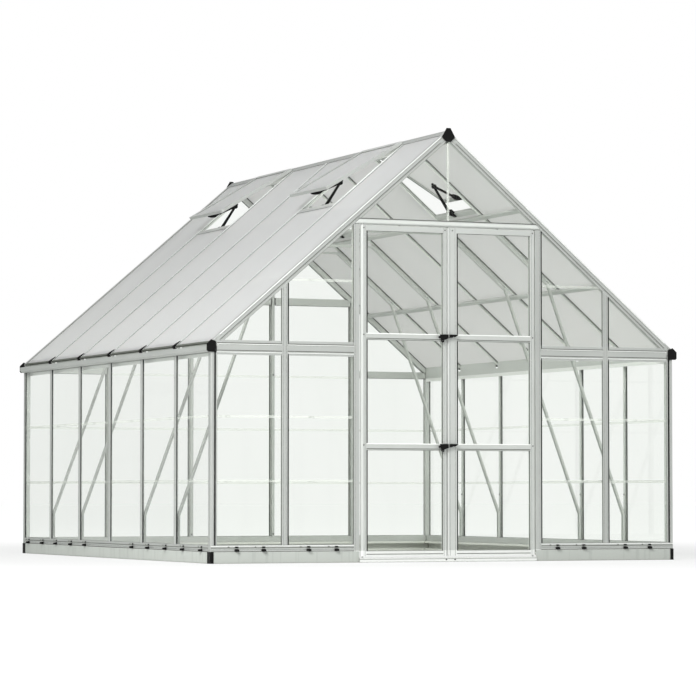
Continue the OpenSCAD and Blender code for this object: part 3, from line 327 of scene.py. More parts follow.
def aluminium(name, way, tone, topside=0.50, lit_below=0.07):
    """Satin aluminium of a mean tone, whose fine lines run up, across (x), along (y) or with the
    roof's slope. Its upward faces take the tone topside, as painted light and shade, and what
    lies below a given height is painted lighter, as painted light."""
    green = np.array([0.985, 1.015, 0.975])
    darkest, lightest = (tuple(float(v) for v in f * tone * green) + (1,) for f in (0.91, 1.09))
    made, tree, out = new_material(name)
    place = own_metres(tree)
    if way == "slope":
        split = wire(tree, "ShaderNodeSeparateXYZ", None, Vector=place)
        folded = reckoned(tree, "ABSOLUTE", split.outputs["X"])
        place = wire(tree, "ShaderNodeCombineXYZ", None, X=folded, Y=split.outputs["Y"],
                     Z=split.outputs["Z"]).outputs[0]
    squeeze = {"up": (1, 1, 0.01), "across": (0.01, 1, 1), "along": (1, 0.01, 1), "slope": (0.01, 1, 1)}[way]
    turn = (0, -slope, 0) if way == "slope" else (0, 0, 0)
    lines = wire(tree, "ShaderNodeMapping", None, Vector=place, Rotation=turn, Scale=squeeze)
    streaks = use_group(tree, grain, Place=lines.outputs[0], Coarse=60.0, Fine=900.0)
    clouds = use_group(tree, grain, Place=place, Coarse=3.0, Fine=300.0)
    soft = use_group(tree, edges, Radius=0.0022)
    crevice_shading = use_group(tree, crevice_shade, Reach=0.006)
    dust_and_light_mask = use_group(tree, upward_dust_and_light, Place=place, Amount=1.6)
    base = blended(tree, clouds.outputs["Cloud"], darkest, lightest)
    # Upward faces take the top tone: painted light on bars whose top tone is lighter, and a slightly darker
    # top on the gutters.
    dusted_and_lit = blended(tree, dust_and_light_mask.outputs["Dust and Light"], base, (topside, topside, topside, 1))
    height = wire(tree, "ShaderNodeSeparateXYZ", None, Vector=own_metres(tree)).outputs["Z"]
    # Below the given height the bar is painted lighter: painted light low down.
    low = ranged(tree, height, lit_below - 0.003, lit_below + 0.001, 1.0, 0.0)
    lit_low_down = blended(tree, low, dusted_and_lit, (0.80, 0.81, 0.79, 1))
    # Edges get a painted highlight.
    highlighted = blended(tree, soft.outputs["Edge"], lit_low_down, (0.86, 0.88, 0.86, 1))
    # Painted shade in grooves and slots.
    with_crevice_shade = blended(tree, crevice_shading.outputs["Painted Shade"], highlighted, (0.05, 0.052, 0.045, 1))
    rough = ranged(tree, streaks.outputs["Cloud"], 0.3, 0.7, 0.36, 0.5)
    bump = wire(tree, "ShaderNodeBump", None, Strength=0.12, Distance=0.0003,
                Height=streaks.outputs["Speck"], Normal=soft.outputs["Normal"])
    surface = wire(tree, "ShaderNodeBsdfPrincipled", None, Base_Color=with_crevice_shade, Metallic=0.45,
                   Roughness=rough, Normal=bump.outputs[0])
    show(surface, out)
    return made


# The tones are painted light and shade: each kind of bar is lighter or darker as light falls on it, such as
# the lit right braces and the darker left ones, and the roof bars, side studs and door header are painted
# brighter.
bars = {way: aluminium("aluminium_" + way, way, 0.49) for way in ("up", "across", "along")}
bars["slope"] = aluminium("aluminium_slope", "slope", 0.50, 0.62)
roof_bars_painted_bright = aluminium("roof_bars_painted_bright", "slope", 0.82, 0.95)
# The gutters are painted lighter below 1.2295 m, as painted light on their lower band.
gutters = aluminium("gutters", "along", 0.54, 0.50, 1.2295)
side_studs = aluminium("side_studs", "up", 0.62)
inner_bars = {way: aluminium("inner_" + way, way, 0.50) for way in ("up", "across", "along")}
left_braces_painted_darker = aluminium("left_braces_painted_darker", "up", 0.33)
right_braces_painted_lighter = aluminium("right_braces_painted_lighter", "up", 0.55)
door_bars = aluminium("door_bars", "up", 0.59)
door_header_painted_bright = aluminium("door_header_painted_bright", "across", 0.74)
vent_rails = aluminium("vent_rails", "along", 0.52, 0.70)


def dress(material, *names):
    """Puts a finish in the material slots of these nodes of the frame."""
    for name in names:
        mesh = nodes[name].data
        if not mesh.materials:
            mesh.materials.append(material)
        for index in range(len(mesh.materials)):
            mesh.materials[index] = material
    dressed.update(names)


dressed = set()
dress(bars["up"], "corner_posts", "front_mullions", "door_posts")
dress(side_studs, "left_studs", "right_studs")
dress(bars["across"], "end_sills", "front_eave_rail", "door_threshold")
dress(bars["along"], "side_sills", "ridge_beam", "vent_bars")
dress(gutters, "left_gutter", "right_gutter")
dress(bars["slope"], "front_rafters", "back_rafters")
dress(roof_bars_painted_bright, "left_roof_bars", "right_roof_bars")
dress(inner_bars["up"], "back_mullions")
dress(left_braces_painted_darker, "left_braces")
dress(right_braces_painted_lighter, "right_braces")
dress(door_bars, "left_door_frame", "right_door_frame")
dress(inner_bars["across"], "back_eave_rail", "back_tie_rail", "collar_ties")
dress(inner_bars["along"], "left_purlins", "right_purlins")
dress(door_header_painted_bright, "door_header")
dress(vent_rails, "vent_frames")
print(len(dressed), "nodes are aluminium")

# %% [markdown]
# ## The base
# The greenhouse stands on a ring of bent sheet steel, zinc-coated and painted a pale grey.
# Paint on steel is not a metal to the eye: it is a smooth matt colour with a weak shine,
# a faint orange-peel skin, and it is a little darker near the ground, where rain splashes.
# The ring is folded from short lengths, whose joints show as faint upright lines. Its inside
# is painted a brighter grey, as painted light in the channel's shade, and the long sides are
# painted lighter than the ends, as painted light.

# %% Painted steel
def painted_steel(name, tone):
    """Pale paint of a mean tone on bent sheet; the inside of the channel is painted a brighter grey, as
    painted light in its shade.
    """
    made, tree, out = new_material(name)
    place = own_metres(tree)
    clouds = use_group(tree, grain, Place=place, Coarse=2.5, Fine=260.0)
    soft = use_group(tree, edges, Radius=0.002)
    crevice_shading = use_group(tree, crevice_shade, Reach=0.008)
    dust_and_light_mask = use_group(tree, upward_dust_and_light, Place=place, Amount=0.5)
    x, y, z = wire(tree, "ShaderNodeSeparateXYZ", None, Vector=place).outputs
    splash = ranged(tree, z, 0.0, 0.05, 0.5, 0.0)
    tall = wire(tree, "ShaderNodeMapping", None, Vector=place, Scale=(1, 1, 0.01))
    waves = use_group(tree, grain, Place=tall.outputs[0], Coarse=6.0, Fine=26.0)
    off_half = reckoned(tree, "ABSOLUTE", reckoned(tree, "SUBTRACT", waves.outputs["Cloud"], 0.5))
    seam = ranged(tree, off_half, 0.0, 0.02, 0.3, 0.0)
    from_side = reckoned(tree, "SUBTRACT", half_w, reckoned(tree, "ABSOLUTE", x))
    from_front = reckoned(tree, "SUBTRACT", y, front_y)
    from_back = reckoned(tree, "SUBTRACT", back_y, y)
    from_end = reckoned(tree, "MINIMUM", from_front, from_back)
    lit_inside_mask = ranged(tree, reckoned(tree, "MINIMUM", from_side, from_end), 0.0005, 0.0025, 0.0, 1.0)
    darker, lighter = ((tone * f, tone * f * 1.05, tone * f * 0.985, 1) for f in (0.92, 1.08))
    paint = blended(tree, clouds.outputs["Cloud"], darker, lighter)
    seamed = blended(tree, seam, paint, (tone * 0.6, tone * 0.63, tone * 0.59, 1))
    low = blended(tree, splash, seamed, (tone * 0.85, tone * 0.88, tone * 0.82, 1))
    # The channel's inside is painted brighter, as painted light in its shade.
    zinc_and_lit_inside = blended(tree, lit_inside_mask, low, (0.64, 0.65, 0.61, 1))
    edged = blended(tree, soft.outputs["Edge"], zinc_and_lit_inside, (0.75, 0.76, 0.74, 1))
    dusted_and_lit = blended(tree, dust_and_light_mask.outputs["Dust and Light"], edged, (0.56, 0.55, 0.50, 1))
    # Painted shade in the base's grooves and joints.
    with_crevice_shade = blended(tree, crevice_shading.outputs["Painted Shade"], dusted_and_lit, (0.16, 0.16, 0.14, 1))
    bump = wire(tree, "ShaderNodeBump", None, Strength=0.08, Distance=0.0004,
                Height=clouds.outputs["Speck"], Normal=soft.outputs["Normal"])
    surface = wire(tree, "ShaderNodeBsdfPrincipled", None, Base_Color=with_crevice_shade, Metallic=0.15,
                   Roughness=0.45, Normal=bump.outputs[0])
    show(surface, out)
    return made


# The long sides are painted lighter than the ends, as painted light.
dress(painted_steel("steel_ends_painted_darker", 0.44), "base_back", "base_front")
dress(painted_steel("steel_sides_painted_lighter", 0.53), "base_left", "base_right")

# %% [markdown]
# ## Black plastic and grey rubber
# Corner caps, hooks, latches and stays are moulded in black nylon. It isn't pure black: it
# reflects a soft sheen, its skin has a fine spark-eroded grain from the mould, and edges
# that hands and weather reach go grey. The seals round the sheets are a soft rubber that
# has gone a dull grey, dark or pale: the same steps with lighter tones and hardly any shine.
# The dark grey rubber and the black plastic also draw lines of painted shade beside bars and sheets.

# %% Moulded plastic and rubber
def dull_moulding(name, tones, worn, rough_low, rough_high, shine):
    """A moulded finish: two tones of its skin, the tone of worn edges, and its roughness."""
    made, tree, out = new_material(name)
    place = own_metres(tree)
    skin = use_group(tree, grain, Place=place, Coarse=30.0, Fine=900.0)
    soft = use_group(tree, edges, Radius=0.0015)
    dust_and_light_mask = use_group(tree, upward_dust_and_light, Place=place, Amount=0.12)
    tone = blended(tree, skin.outputs["Cloud"], *tones)
    scuffed = blended(tree, soft.outputs["Edge"], tone, worn)
    dusted_and_lit = blended(tree, dust_and_light_mask.outputs["Dust and Light"], scuffed, (0.14, 0.135, 0.12, 1))
    rough = ranged(tree, skin.outputs["Cloud"], 0.3, 0.7, rough_low, rough_high)
    bump = wire(tree, "ShaderNodeBump", None, Strength=0.25, Distance=0.0002,
                Height=skin.outputs["Speck"], Normal=soft.outputs["Normal"])
    surface = wire(tree, "ShaderNodeBsdfPrincipled", None, Base_Color=dusted_and_lit, Roughness=rough,
                   Specular_IOR_Level=shine, Normal=bump.outputs[0])
    show(surface, out)
    return made


black_plastic = dull_moulding("black_plastic", ((0.004, 0.004, 0.004, 1), (0.008, 0.008, 0.008, 1)),
                              (0.016, 0.016, 0.016, 1), 0.42, 0.56, 0.10)
grey_rubber = dull_moulding("grey_rubber", ((0.10, 0.11, 0.095, 1), (0.14, 0.15, 0.13, 1)),
                            (0.18, 0.18, 0.17, 1), 0.6, 0.75, 0.2)
pale_rubber = dull_moulding("pale_rubber", ((0.24, 0.25, 0.235, 1), (0.30, 0.31, 0.29, 1)),
                            (0.36, 0.36, 0.35, 1), 0.6, 0.75, 0.2)
dress(black_plastic, "base_corner_caps", "roof_end_caps", "bar_end_caps", "vent_stays",
      "left_door_latches", "right_door_keepers")
print("black pieces dressed, of", len(dressed), "so far")

# %% [markdown]
# ## Clear sheets
# The walls are thin clear sheets: what stands behind them shows almost as it is, with a trace
# of green. A thick glass shader would bend and darken the view too much, and its shadow
# would be black, because a shadow ray doesn't pass glass. So shadow rays, and those that
# matt things throw, meet a plain see-through shader with the sheet's tint, and all other rays
# meet real clear plastic.
# The strips that join the sheets are frosted white instead: in a thin strip with corners all
# round, a plastic that bends light would trap it and turn dark, so they are a see-through
# shader with a little white in it, and light goes straight on.

# %% The clear finish
clear_sheet, tree, out = new_material("clear_sheet")
clouds = use_group(tree, grain, Place=own_metres(tree), Coarse=1.2, Fine=40.0)
tint = blended(tree, clouds.outputs["Cloud"], (0.925, 0.945, 0.92, 1), (0.9625, 0.9725, 0.96, 1))
mist = ranged(tree, clouds.outputs["Cloud"], 0.35, 0.75, 0.0, 0.004)
surface = wire(tree, "ShaderNodeBsdfPrincipled", None, Base_Color=tint, Roughness=mist, IOR=1.22,
               Transmission_Weight=1.0)
light = wire(tree, "ShaderNodeBsdfTransparent", None, Color=(0.93, 0.95, 0.93, 1))
path = tree.nodes.new("ShaderNodeLightPath")
straight = reckoned(tree, "MAXIMUM", path.outputs["Is Shadow Ray"], path.outputs["Is Diffuse Ray"])
show(mixed(tree, straight, surface, light), out)

joint_strip, tree, out = new_material("joint_strip")
clouds = use_group(tree, grain, Place=own_metres(tree), Coarse=20.0, Fine=300.0)
frosted = blended(tree, clouds.outputs["Cloud"], (0.93, 0.94, 0.92, 1), (0.98, 0.985, 0.97, 1))
white = wire(tree, "ShaderNodeBsdfDiffuse", None, Color=frosted)
passing = wire(tree, "ShaderNodeBsdfTransparent", None, Color=(0.985, 0.99, 0.98, 1))
show(mixed(tree, 0.91, white, passing), out)
dress(clear_sheet, "left_panes", "right_panes", "back_panes", "front_panes", "left_door_panes",
      "right_door_panes")
dress(joint_strip, "pane_strips")
low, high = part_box("left_door_panes")
print("clear sheets are", round(high.y - low.y, 4), "m thick")

# %% [markdown]
# ## Milky roof sheets
# The roof is twin-wall sheet: two skins with ribs between them every centimetre, running
# from ridge to eave, in a milky plastic that spreads the sun. From outside it is an even
# light grey, with soft smears where rain has run, and from inside it glows, with bars and
# sashes behind it as soft dark bands. A plastic that only let sight through would look
# empty, so half of it scatters light to its other side (a translucent shader), and the
# rest is a weakly shining skin. Low down the pale floor lights it, and it is paler there.

# %% The milky finish
milky_sheet, tree, out = new_material("milky_sheet")
place = own_metres(tree)
rib_space = wire(tree, "ShaderNodeMapping", None, Vector=place, Scale=(0, 1, 0))
inner_ribs = wire(tree, "ShaderNodeTexWave", {"wave_type": "BANDS", "bands_direction": "Y"},
                  Vector=rib_space.outputs[0], Scale=31.4, Distortion=0.0)
smear_space = wire(tree, "ShaderNodeMapping", None, Vector=place, Rotation=(0.0, 0.5, 0.6),
                   Scale=(0.6, 2.6, 1.2))
clouds = use_group(tree, grain, Place=smear_space.outputs[0], Coarse=1.6, Fine=200.0)
dust_and_light_mask = use_group(tree, upward_dust_and_light, Place=place, Amount=0.2)
tone = blended(tree, clouds.outputs["Cloud"], (0.385, 0.378, 0.415, 1), (0.49, 0.481, 0.525, 1))
height = wire(tree, "ShaderNodeSeparateXYZ", None, Vector=place).outputs["Z"]
low_down = ranged(tree, height, 1.35, 2.1, 0.8, 0.0, smooth=True)
paler = blended(tree, low_down, tone, (0.66, 0.65, 0.68, 1))
ribbed = blended(tree, inner_ribs.outputs["Fac"], paler, (0.48, 0.472, 0.51, 1))
dusted_and_lit = blended(tree, dust_and_light_mask.outputs["Dust and Light"], ribbed, (0.56, 0.56, 0.52, 1))
bump = wire(tree, "ShaderNodeBump", None, Strength=0.1, Distance=0.0004, Height=inner_ribs.outputs["Fac"])
skin = wire(tree, "ShaderNodeBsdfPrincipled", None, Base_Color=dusted_and_lit, Roughness=0.4, IOR=1.3,
            Transmission_Weight=0.35, Normal=bump.outputs[0])
inner_glow = wire(tree, "ShaderNodeBsdfTranslucent", None, Color=(0.935, 0.94, 0.905, 1))
body = mixed(tree, 0.5, skin, inner_glow)
light = wire(tree, "ShaderNodeBsdfTransparent", None, Color=(0.90, 0.915, 0.89, 1))
path = tree.nodes.new("ShaderNodeLightPath")
show(mixed(tree, path.outputs["Is Shadow Ray"], body, light), out)
dress(milky_sheet, "left_roof_sheets", "right_roof_sheets", "vent_sheets")
print("nodes without a finish:", sorted(set(nodes) - dressed))

# %% [markdown]
# ## Tools for the small pieces
# Nearly all small pieces are one of two kinds. A seal, a trim or a bead is a small outline
# carried along straight runs. A clip or a screw is one little domed surface, set down many
# times. So there is one tool for each. Every face of the greenhouse is a plane with a
# starting point, a way to the right and a way up, both as seen from outside, and the small
# pieces are given by their distances along these two ways.

# %% Faces of the house, runs and copies
faces_of_house = {
    "front": ((0, front_y, 0), (1, 0, 0), (0, 0, 1)),
    "back": ((0, back_y, 0), (-1, 0, 0), (0, 0, 1)),
    "left": ((-half_w, 0, 0), (0, -1, 0), (0, 0, 1)),
    "right": ((half_w, 0, 0), (0, 1, 0), (0, 0, 1)),
    "left_slope": ((-half_w, 0, eave_h), (0, -1, 0), (math.cos(slope), 0, math.sin(slope))),
    "right_slope": ((half_w, 0, eave_h), (0, 1, 0), (-math.cos(slope), 0, math.sin(slope))),
}


def on_face(face, spots, depth=0.0):
    """Spots (right, up) of a face, depth metres below it, as points of the house, and the face's
    outward way."""
    start, right, up = (np.array(v, float) for v in faces_of_house[face])
    outward = np.cross(right, up)
    spots = np.asarray(spots, float)
    return start + spots[..., :1] * right + spots[..., 1:2] * up - depth * outward, outward


def run_on(face, a, b, depth=0.0):
    """A straight run on a face, from the spot a to the spot b: its ends and the outward way."""
    ends, outward = on_face(face, [a, b], depth)
    return ends[0], ends[1], outward


def carried(profile, runs):
    """A closed profile (outward p, sideways q) carried along straight runs of start, end and outward
    way n: point = start or end + p * n + q * (along x n). Both ends of each run are closed."""
    profile = np.asarray(profile, float)
    p, q = profile[:, 0], profile[:, 1]
    if np.sum(p * np.roll(q, -1) - q * np.roll(p, -1)) < 0:
        profile = profile[::-1]
    runs = np.asarray(runs, float)
    start, end, out_way = runs[:, 0], runs[:, 1], runs[:, 2]
    along = (end - start) / np.linalg.norm(end - start, axis=1, keepdims=True)
    side_way = np.cross(along, out_way)
    ring = profile[None, :, :1] * out_way[:, None] + profile[None, :, 1:] * side_way[:, None]
    points = np.concatenate([start[:, None] + ring, end[:, None] + ring], axis=1)
    n = len(profile)
    i = np.arange(n)
    sides = np.stack([i, (i + 1) % n, (i + 1) % n + n, i + n], axis=-1)
    one_run = list(sides) + [i[::-1], i + n]
    return points.reshape(-1, 3), [f + k * 2 * n for k in range(len(runs)) for f in one_run]


def placed(shape, spots, outward, up):
    """The shape's points (right, up, outward) at each spot, and its faces once for each spot."""
    points, faces = shape
    spots = np.asarray(spots, float)
    z = np.broadcast_to(np.asarray(outward, float), spots.shape)
    y = np.broadcast_to(np.asarray(up, float), spots.shape)
    axes = np.stack([np.cross(y, z), y, z], axis=1)
    copies = points @ axes + spots[:, None]
    shifts = [k * len(points) for k in range(len(spots))]
    return copies.reshape(-1, 3), [np.asarray(f) + shift for shift in shifts for f in faces]


def joined(shapes):
    """Several sets of points and faces as one."""
    points, faces, shift = [], [], 0
    for p, f in shapes:
        points.append(p)
        faces += [np.asarray(one) + shift for one in f]
        shift += len(p)
    return np.concatenate(points), faces


def bead(width, height, inset=0.0, steps=7):
    """Section of a flat-backed bead: outwards height * cos a, sideways inset + width / 2 * (1 + sin a),
    with a from -90 to 90 degrees."""
    a = np.linspace(-np.pi / 2, np.pi / 2, steps)
    return np.stack([height * np.cos(a), inset + width / 2 * (1 + np.sin(a))], axis=-1)


def add(name, shape, material, body, smooth=False):
    """A new piece of that shape (points, faces), which rides on a body and has a slot's finish."""
    piece = new_mesh(name, *shape, material, smooth)
    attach(piece, body)


print("faces:", list(faces_of_house), "and the roof rises", round(math.degrees(slope), 1), "degrees")

# %% [markdown]
# ## Seals round the sheets
# Each sheet is held in its bar by a rubber seal, a thin line all round the opening. It could be
# drawn on the sheet by its shader, but then it would have no depth and would end at the
# sheet's edge. So it is a small half-round bead carried round every opening: up the left
# edge, along the top, down the right edge and back, clockwise as seen from outside, which
# keeps the bead on the sheet's side of the edge. In the front, the sides and the doors the
# left edge has a broad black bead and the right edge a grey one, as painted shade: they stand
# for the shade along the sheet's upright edges. The level edges, which keep the rain out, have
# a slim pale one. The back wall has slim pale beads all round. The roof sheets have slim ones
# above, grey on their left edges as painted shade and pale on their right edges, and black
# ones below, where they rest on their bars.

# %% Openings of the walls and the roof
post, bar, end_bar = 0.038, 0.018, 0.036
pane_in, back_bay = 0.0033, 0.606
sill_top, rail_z = 0.106, 1.228
side_bay = (back_y - front_y) / 6
vent_bays = (1, 4)
under_vent, under_ridge = 0.648, 0.045
rafter_depth = 0.044 / math.cos(slope)
side_edges = [front_y + k * side_bay for k in range(7)]


def rafter_z(x):
    """Height of a gable rafter's underside at a distance from the centre line."""
    return ridge_h - rafter_depth - abs(x) * math.tan(slope)


def rafter_x(z):
    """Distance from the centre line at which the rafter's underside has that height."""
    return (ridge_h - rafter_depth - z) / math.tan(slope)


def upright_box(a, b, low, high):
    """Corners of an opening, clockwise from the lower left."""
    return [(a, low), (a, high), (b, high), (b, low)]


def between_bars(a, b, sign, low, high):
    """An opening from a to b along a side, mirrored where sign is -1."""
    return upright_box(*sorted((sign * a, sign * b)), low, high)


openings = {face: [] for face in faces_of_house}
for side, sign in (("left", -1), ("right", 1)):
    for k in range(6):
        a, b = side_edges[k], side_edges[k + 1]
        wall_a, wall_b = a + (post if k == 0 else bar), b - (post if k == 5 else bar)
        openings[side].append(between_bars(wall_a, wall_b, sign, sill_top, rail_z))
        top_edge = slope_len - (under_vent if k in vent_bays else under_ridge)
        roof_a, roof_b = a + (end_bar if k == 0 else bar), b - (end_bar if k == 5 else bar)
        openings[side + "_slope"].append(between_bars(roof_a, roof_b, sign, 0.001, top_edge))

rail_top, tube_top = 1.282, 2.0337
outer_x, mullion_x, post_x = half_w - post, 1.053, 0.597
for sign in (-1, 1):
    for near, far in ((post_x + bar, mullion_x - bar), (mullion_x + bar, outer_x)):
        openings["front"].append(between_bars(near, far, sign, sill_top, rail_z))
    far_x, near_x, door_x = mullion_x + bar, mullion_x - bar, post_x + bar
    corner = [(far_x, rail_top), (far_x, rafter_z(far_x)), (rafter_x(rail_top), rail_top)]
    beside_door = [(door_x, rail_top), (door_x, rafter_z(door_x) - 0.003), (near_x, rafter_z(near_x)),
                   (near_x, rail_top)]
    for outline in (corner, beside_door):
        openings["front"].append([(sign * x, z) for x, z in outline[::sign]])
over_door = rafter_x(tube_top)
openings["front"].append([(-over_door, tube_top), (0, rafter_z(0)), (over_door, tube_top)])

tie_z, tie_top, back_rail_top = 1.733, 1.781, 1.272
for k in range(5):
    a = k * back_bay - half_w + (post if k == 0 else bar)
    b = (k + 1) * back_bay - half_w - (post if k == 4 else bar)
    top, above = (rail_z, back_rail_top) if k in (0, 4) else (tie_z, tie_top)
    openings["back"].append(upright_box(a, b, sill_top, top))
    if k == 2:
        peak = [(a, above), (a, rafter_z(a)), (0, rafter_z(0)), (b, rafter_z(b)), (b, above)]
        openings["back"].append(peak)
    else:
        inner = min(a, b, key=abs)
        outer = math.copysign(rafter_x(above), inner)
        three = [(inner, above), (inner, rafter_z(inner)), (outer, above)]
        openings["back"].append(three if inner > 0 else three[::-1])
print("openings:", {name: len(some) for name, some in openings.items()})

# %% The seals
def edge_kind(a, b):
    """"left" for an edge that goes straight up, "right" for one straight down, "level" for the rest
    and for those at the corner posts, whose own black line, painted shade, does the work of a broad bead."""
    if a[0] != b[0] or abs(a[0]) == outer_x:
        return "level"
    return "left" if b[1] > a[1] else "right"


def seals(name, body, by_face, depth, sections, turned=1):
    """One piece for each kind of edge, from its bead's width and height and its material; turned
    is 1 for beads that stand outwards, and -1 for beads that stand inwards."""
    count = 0
    for kind, (width, height, material) in sections.items():
        runs = []
        for face, outlines in by_face.items():
            for outline in outlines:
                for a, b in zip(outline, outline[1:] + outline[:1]):
                    if edge_kind(a, b) == kind:
                        start, end, outward = run_on(face, a, b, depth)
                        ends = (start, end) if turned > 0 else (end, start)
                        runs.append((*ends, turned * outward))
        add(name + "_" + kind, carried(bead(width, height), runs), material, body)
        count += len(runs)
    return count


def of_faces(*faces):
    """The openings of some faces."""
    return {face: openings[face] for face in faces}


# Painted shade: the grey beads of the right edges, and the broad black beads of the left edges below, stand
# for the shade along the sheets' upright edges.
slim_pale = (0.0028, 0.002, pale_rubber)
shaded_right_edge = (0.0055, 0.0026, grey_rubber)
slopes = of_faces("left_slope", "right_slope")
count = seals("front_seals", "house", of_faces("front"), pane_in, {
    "left": (0.0085, 0.003, black_plastic), "right": shaded_right_edge, "level": slim_pale})
count += seals("side_seals", "house", of_faces("left", "right"), pane_in, {
    "left": (0.0135, 0.003, black_plastic), "right": shaded_right_edge, "level": slim_pale})
count += seals("back_seals", "house", of_faces("back"), pane_in, {
    kind: slim_pale for kind in ("left", "right", "level")})
# On the roof the grey beads of the left edges are painted shade beside the bars.
count += seals("roof_seals", "house", slopes, pane_in, {
    "left": (0.0042, 0.002, grey_rubber), "right": (0.0026, 0.002, pale_rubber)})
sheet_under = 0.0102
count += seals("roof_inner_seals", "house", slopes, sheet_under, {
    kind: (0.0045, 0.002, black_plastic) for kind in ("left", "right")}, -1)

leaf_pane_y = -1.803
leaf_heights = [(0.066, 0.664), (0.700, 1.3169), (1.3529, 1.9617)]
# On the door leaves the broad black bead of each left edge and the grey bead of each right edge are painted
# shade.
leaf_spans = {"left_door": (-0.538, -0.040), "right_door": (0.050, 0.538)}
for door, (a, b) in leaf_spans.items():
    outlines = [upright_box(a, b, low_z, high_z) for low_z, high_z in leaf_heights]
    count += seals(door + "_seals", door, {"front": outlines}, leaf_pane_y - front_y, {
        "left": (0.012, 0.006, black_plastic), "right": (0.004, 0.004, grey_rubber),
        "level": (0.0028, 0.003, pale_rubber)})
print(count, "runs of seal")

# %% [markdown]
# ## Lines of the rails
# The rails over and under the sheets are not flat: raised ribs stiffen them, with grooves
# beside them. The ribs are painted bright, as a painted highlight where they catch the light
# from above, and dark grey beads lie in the grooves as painted shade. The door leaves, the
# rafters and the corner posts have them too, the corner posts as one black line of painted
# shade, and the threshold has one fine pale line. All are slim beads carried along the
# outer faces, each at its own height.

# %% Ribs with a painted highlight, and lines of painted shade
rail_spans = [(-1.477, -1.071), (-1.035, -0.615), (0.615, 1.035), (1.071, 1.477)]
sill_spans = [(-1.513, -0.615), (0.615, 1.513)]
back_span, header_span = (-1.513, 1.513), (-0.585, 0.585)
rail_rib_z, sill_rib_z = (1.2745, 1.2265), 0.1005
rail_groove_z, sill_groove_z, header_groove_z = (1.2800, 1.2375), (0.0905, 0.0690), 2.0345
rafter_rib, rafter_groove = 0.0035, 0.0275
rafter_span = (1.46, 0.05)


def line_runs(face, spans, *levels):
    """Runs along a face at each level, over each span."""
    return [run_on(face, (a, level), (b, level)) for a, b in spans for level in levels]


def rafter_runs(below_top):
    """Runs along both front rafters, at a distance below their upper edge, square to the slope."""
    spots = [(x, ridge_h - below_top / math.cos(slope) - x * math.tan(slope)) for x in rafter_span]
    return [run_on("front", *((sign * x, z) for x, z in spots)) for sign in (-1, 1)]


ribs = line_runs("front", rail_spans, *rail_rib_z) + line_runs("front", sill_spans, sill_rib_z)
ribs += rafter_runs(rafter_rib)
grooves = line_runs("front", rail_spans, *rail_groove_z) + line_runs("front", sill_spans, *sill_groove_z)
grooves += line_runs("left", [(post - back_y, -front_y - post)], *sill_groove_z)
grooves += line_runs("right", [(front_y + post, back_y - post)], *sill_groove_z)
grooves += line_runs("back", [back_span], *sill_groove_z)
grooves += line_runs("front", [header_span], header_groove_z)
grooves += rafter_runs(rafter_groove)

# The ribs' bright finish is a painted highlight.
painted_highlight_rib, tree, out = new_material("painted_highlight_rib")
clouds = use_group(tree, grain, Place=own_metres(tree), Coarse=8.0, Fine=400.0)
highlighted = blended(tree, clouds.outputs["Cloud"], (0.84, 0.86, 0.83, 1), (0.95, 0.96, 0.94, 1))
surface = wire(tree, "ShaderNodeBsdfPrincipled", None, Base_Color=highlighted, Metallic=0.15, Roughness=0.35)
show(surface, out)
add("rail_ribs", carried(bead(0.0040, 0.0016, -0.002, 6), ribs), painted_highlight_rib, "house")
# The grey beads in the grooves are painted shade.
add("rail_shade_lines", carried(bead(0.0042, 0.0008, -0.0021, 5), grooves), grey_rubber, "house")

door_y, forward, upright = -1.815, (0, -1, 0), (0, 0, 1)
threshold_z, post_line_x = 0.0187, 1.4885
leaf_rib_z, leaf_groove_z = (0.6985, 1.3515), (0.0483, 0.6705, 1.3235)


def door_runs(a, b, levels):
    """Runs along the outer face of the doors, from a to b, at each level."""
    return [((a, door_y, z), (b, door_y, z), forward) for z in levels]


add("threshold_line", carried(bead(0.0034, 0.0008, -0.0017, 5), door_runs(*header_span, [threshold_z])),
    pale_rubber, "house")
# A black line of painted shade down each corner post.
post_lines = [run_on(face, (x, sill_top), (x, rail_z)) for x in (-post_line_x, post_line_x)
              for face in ("front", "back")]
add("corner_post_shade_lines", carried(bead(0.0105, 0.0009, -0.00525, 5), post_lines), black_plastic,
    "house")
# On the door leaves too, the bright ribs are a painted highlight and the grey beads painted shade.
for door, (a, b) in leaf_spans.items():
    add(door + "_ribs", carried(bead(0.0060, 0.0016, -0.004, 6), door_runs(a, b, leaf_rib_z)),
        painted_highlight_rib, door)
    add(door + "_shade_lines", carried(bead(0.0046, 0.0008, -0.0023, 5), door_runs(a, b, leaf_groove_z)),
        grey_rubber, door)
# The rubber lines counted here are the lines of painted shade.
print(len(ribs), "ribs and", len(grooves), "rubber lines on the house")

# %% [markdown]
# ## Edge trims of the roof sheets
# The ribs of a twin-wall sheet are open at its lower end, so a trim of grey plastic closes
# them: a channel that hugs both skins. It shows as a dark line along the eaves, over the
# gutter. Its section is a channel, carried from bar to bar.

# %% The trims
sheet_top, sheet_low, sheet_end, channel_end = -0.0028, -0.0098, 0.0046, -0.010
wall, play = 0.0014, 0.001
channel = [
    (sheet_low - wall, channel_end), (sheet_low - wall, sheet_end + wall),
    (sheet_top + wall, sheet_end + wall), (sheet_top + wall, channel_end),
    (sheet_top, channel_end), (sheet_top, sheet_end), (sheet_low, sheet_end), (sheet_low, channel_end),
]
trim_runs = [run_on(face, (outline[0][0] + play, 0), (outline[3][0] - play, 0))
             for face in slopes for outline in slopes[face]]
add("eave_trims", carried(channel, trim_runs), grey_rubber, "house")
start, end, outward = trim_runs[1]
print(len(trim_runs), "trims, each", round(float(np.linalg.norm(end - start)), 3), "m long")

# %% [markdown]
# ## Beads of the ridge and the vents
# The ridge has a raised bead down each wing, which stiffens it and sheds the rain, and each
# vent turns on a round bead that slides into the ridge's side. Both are round sections
# carried along the house. They are aluminium, so they take the same finish as the ridge.

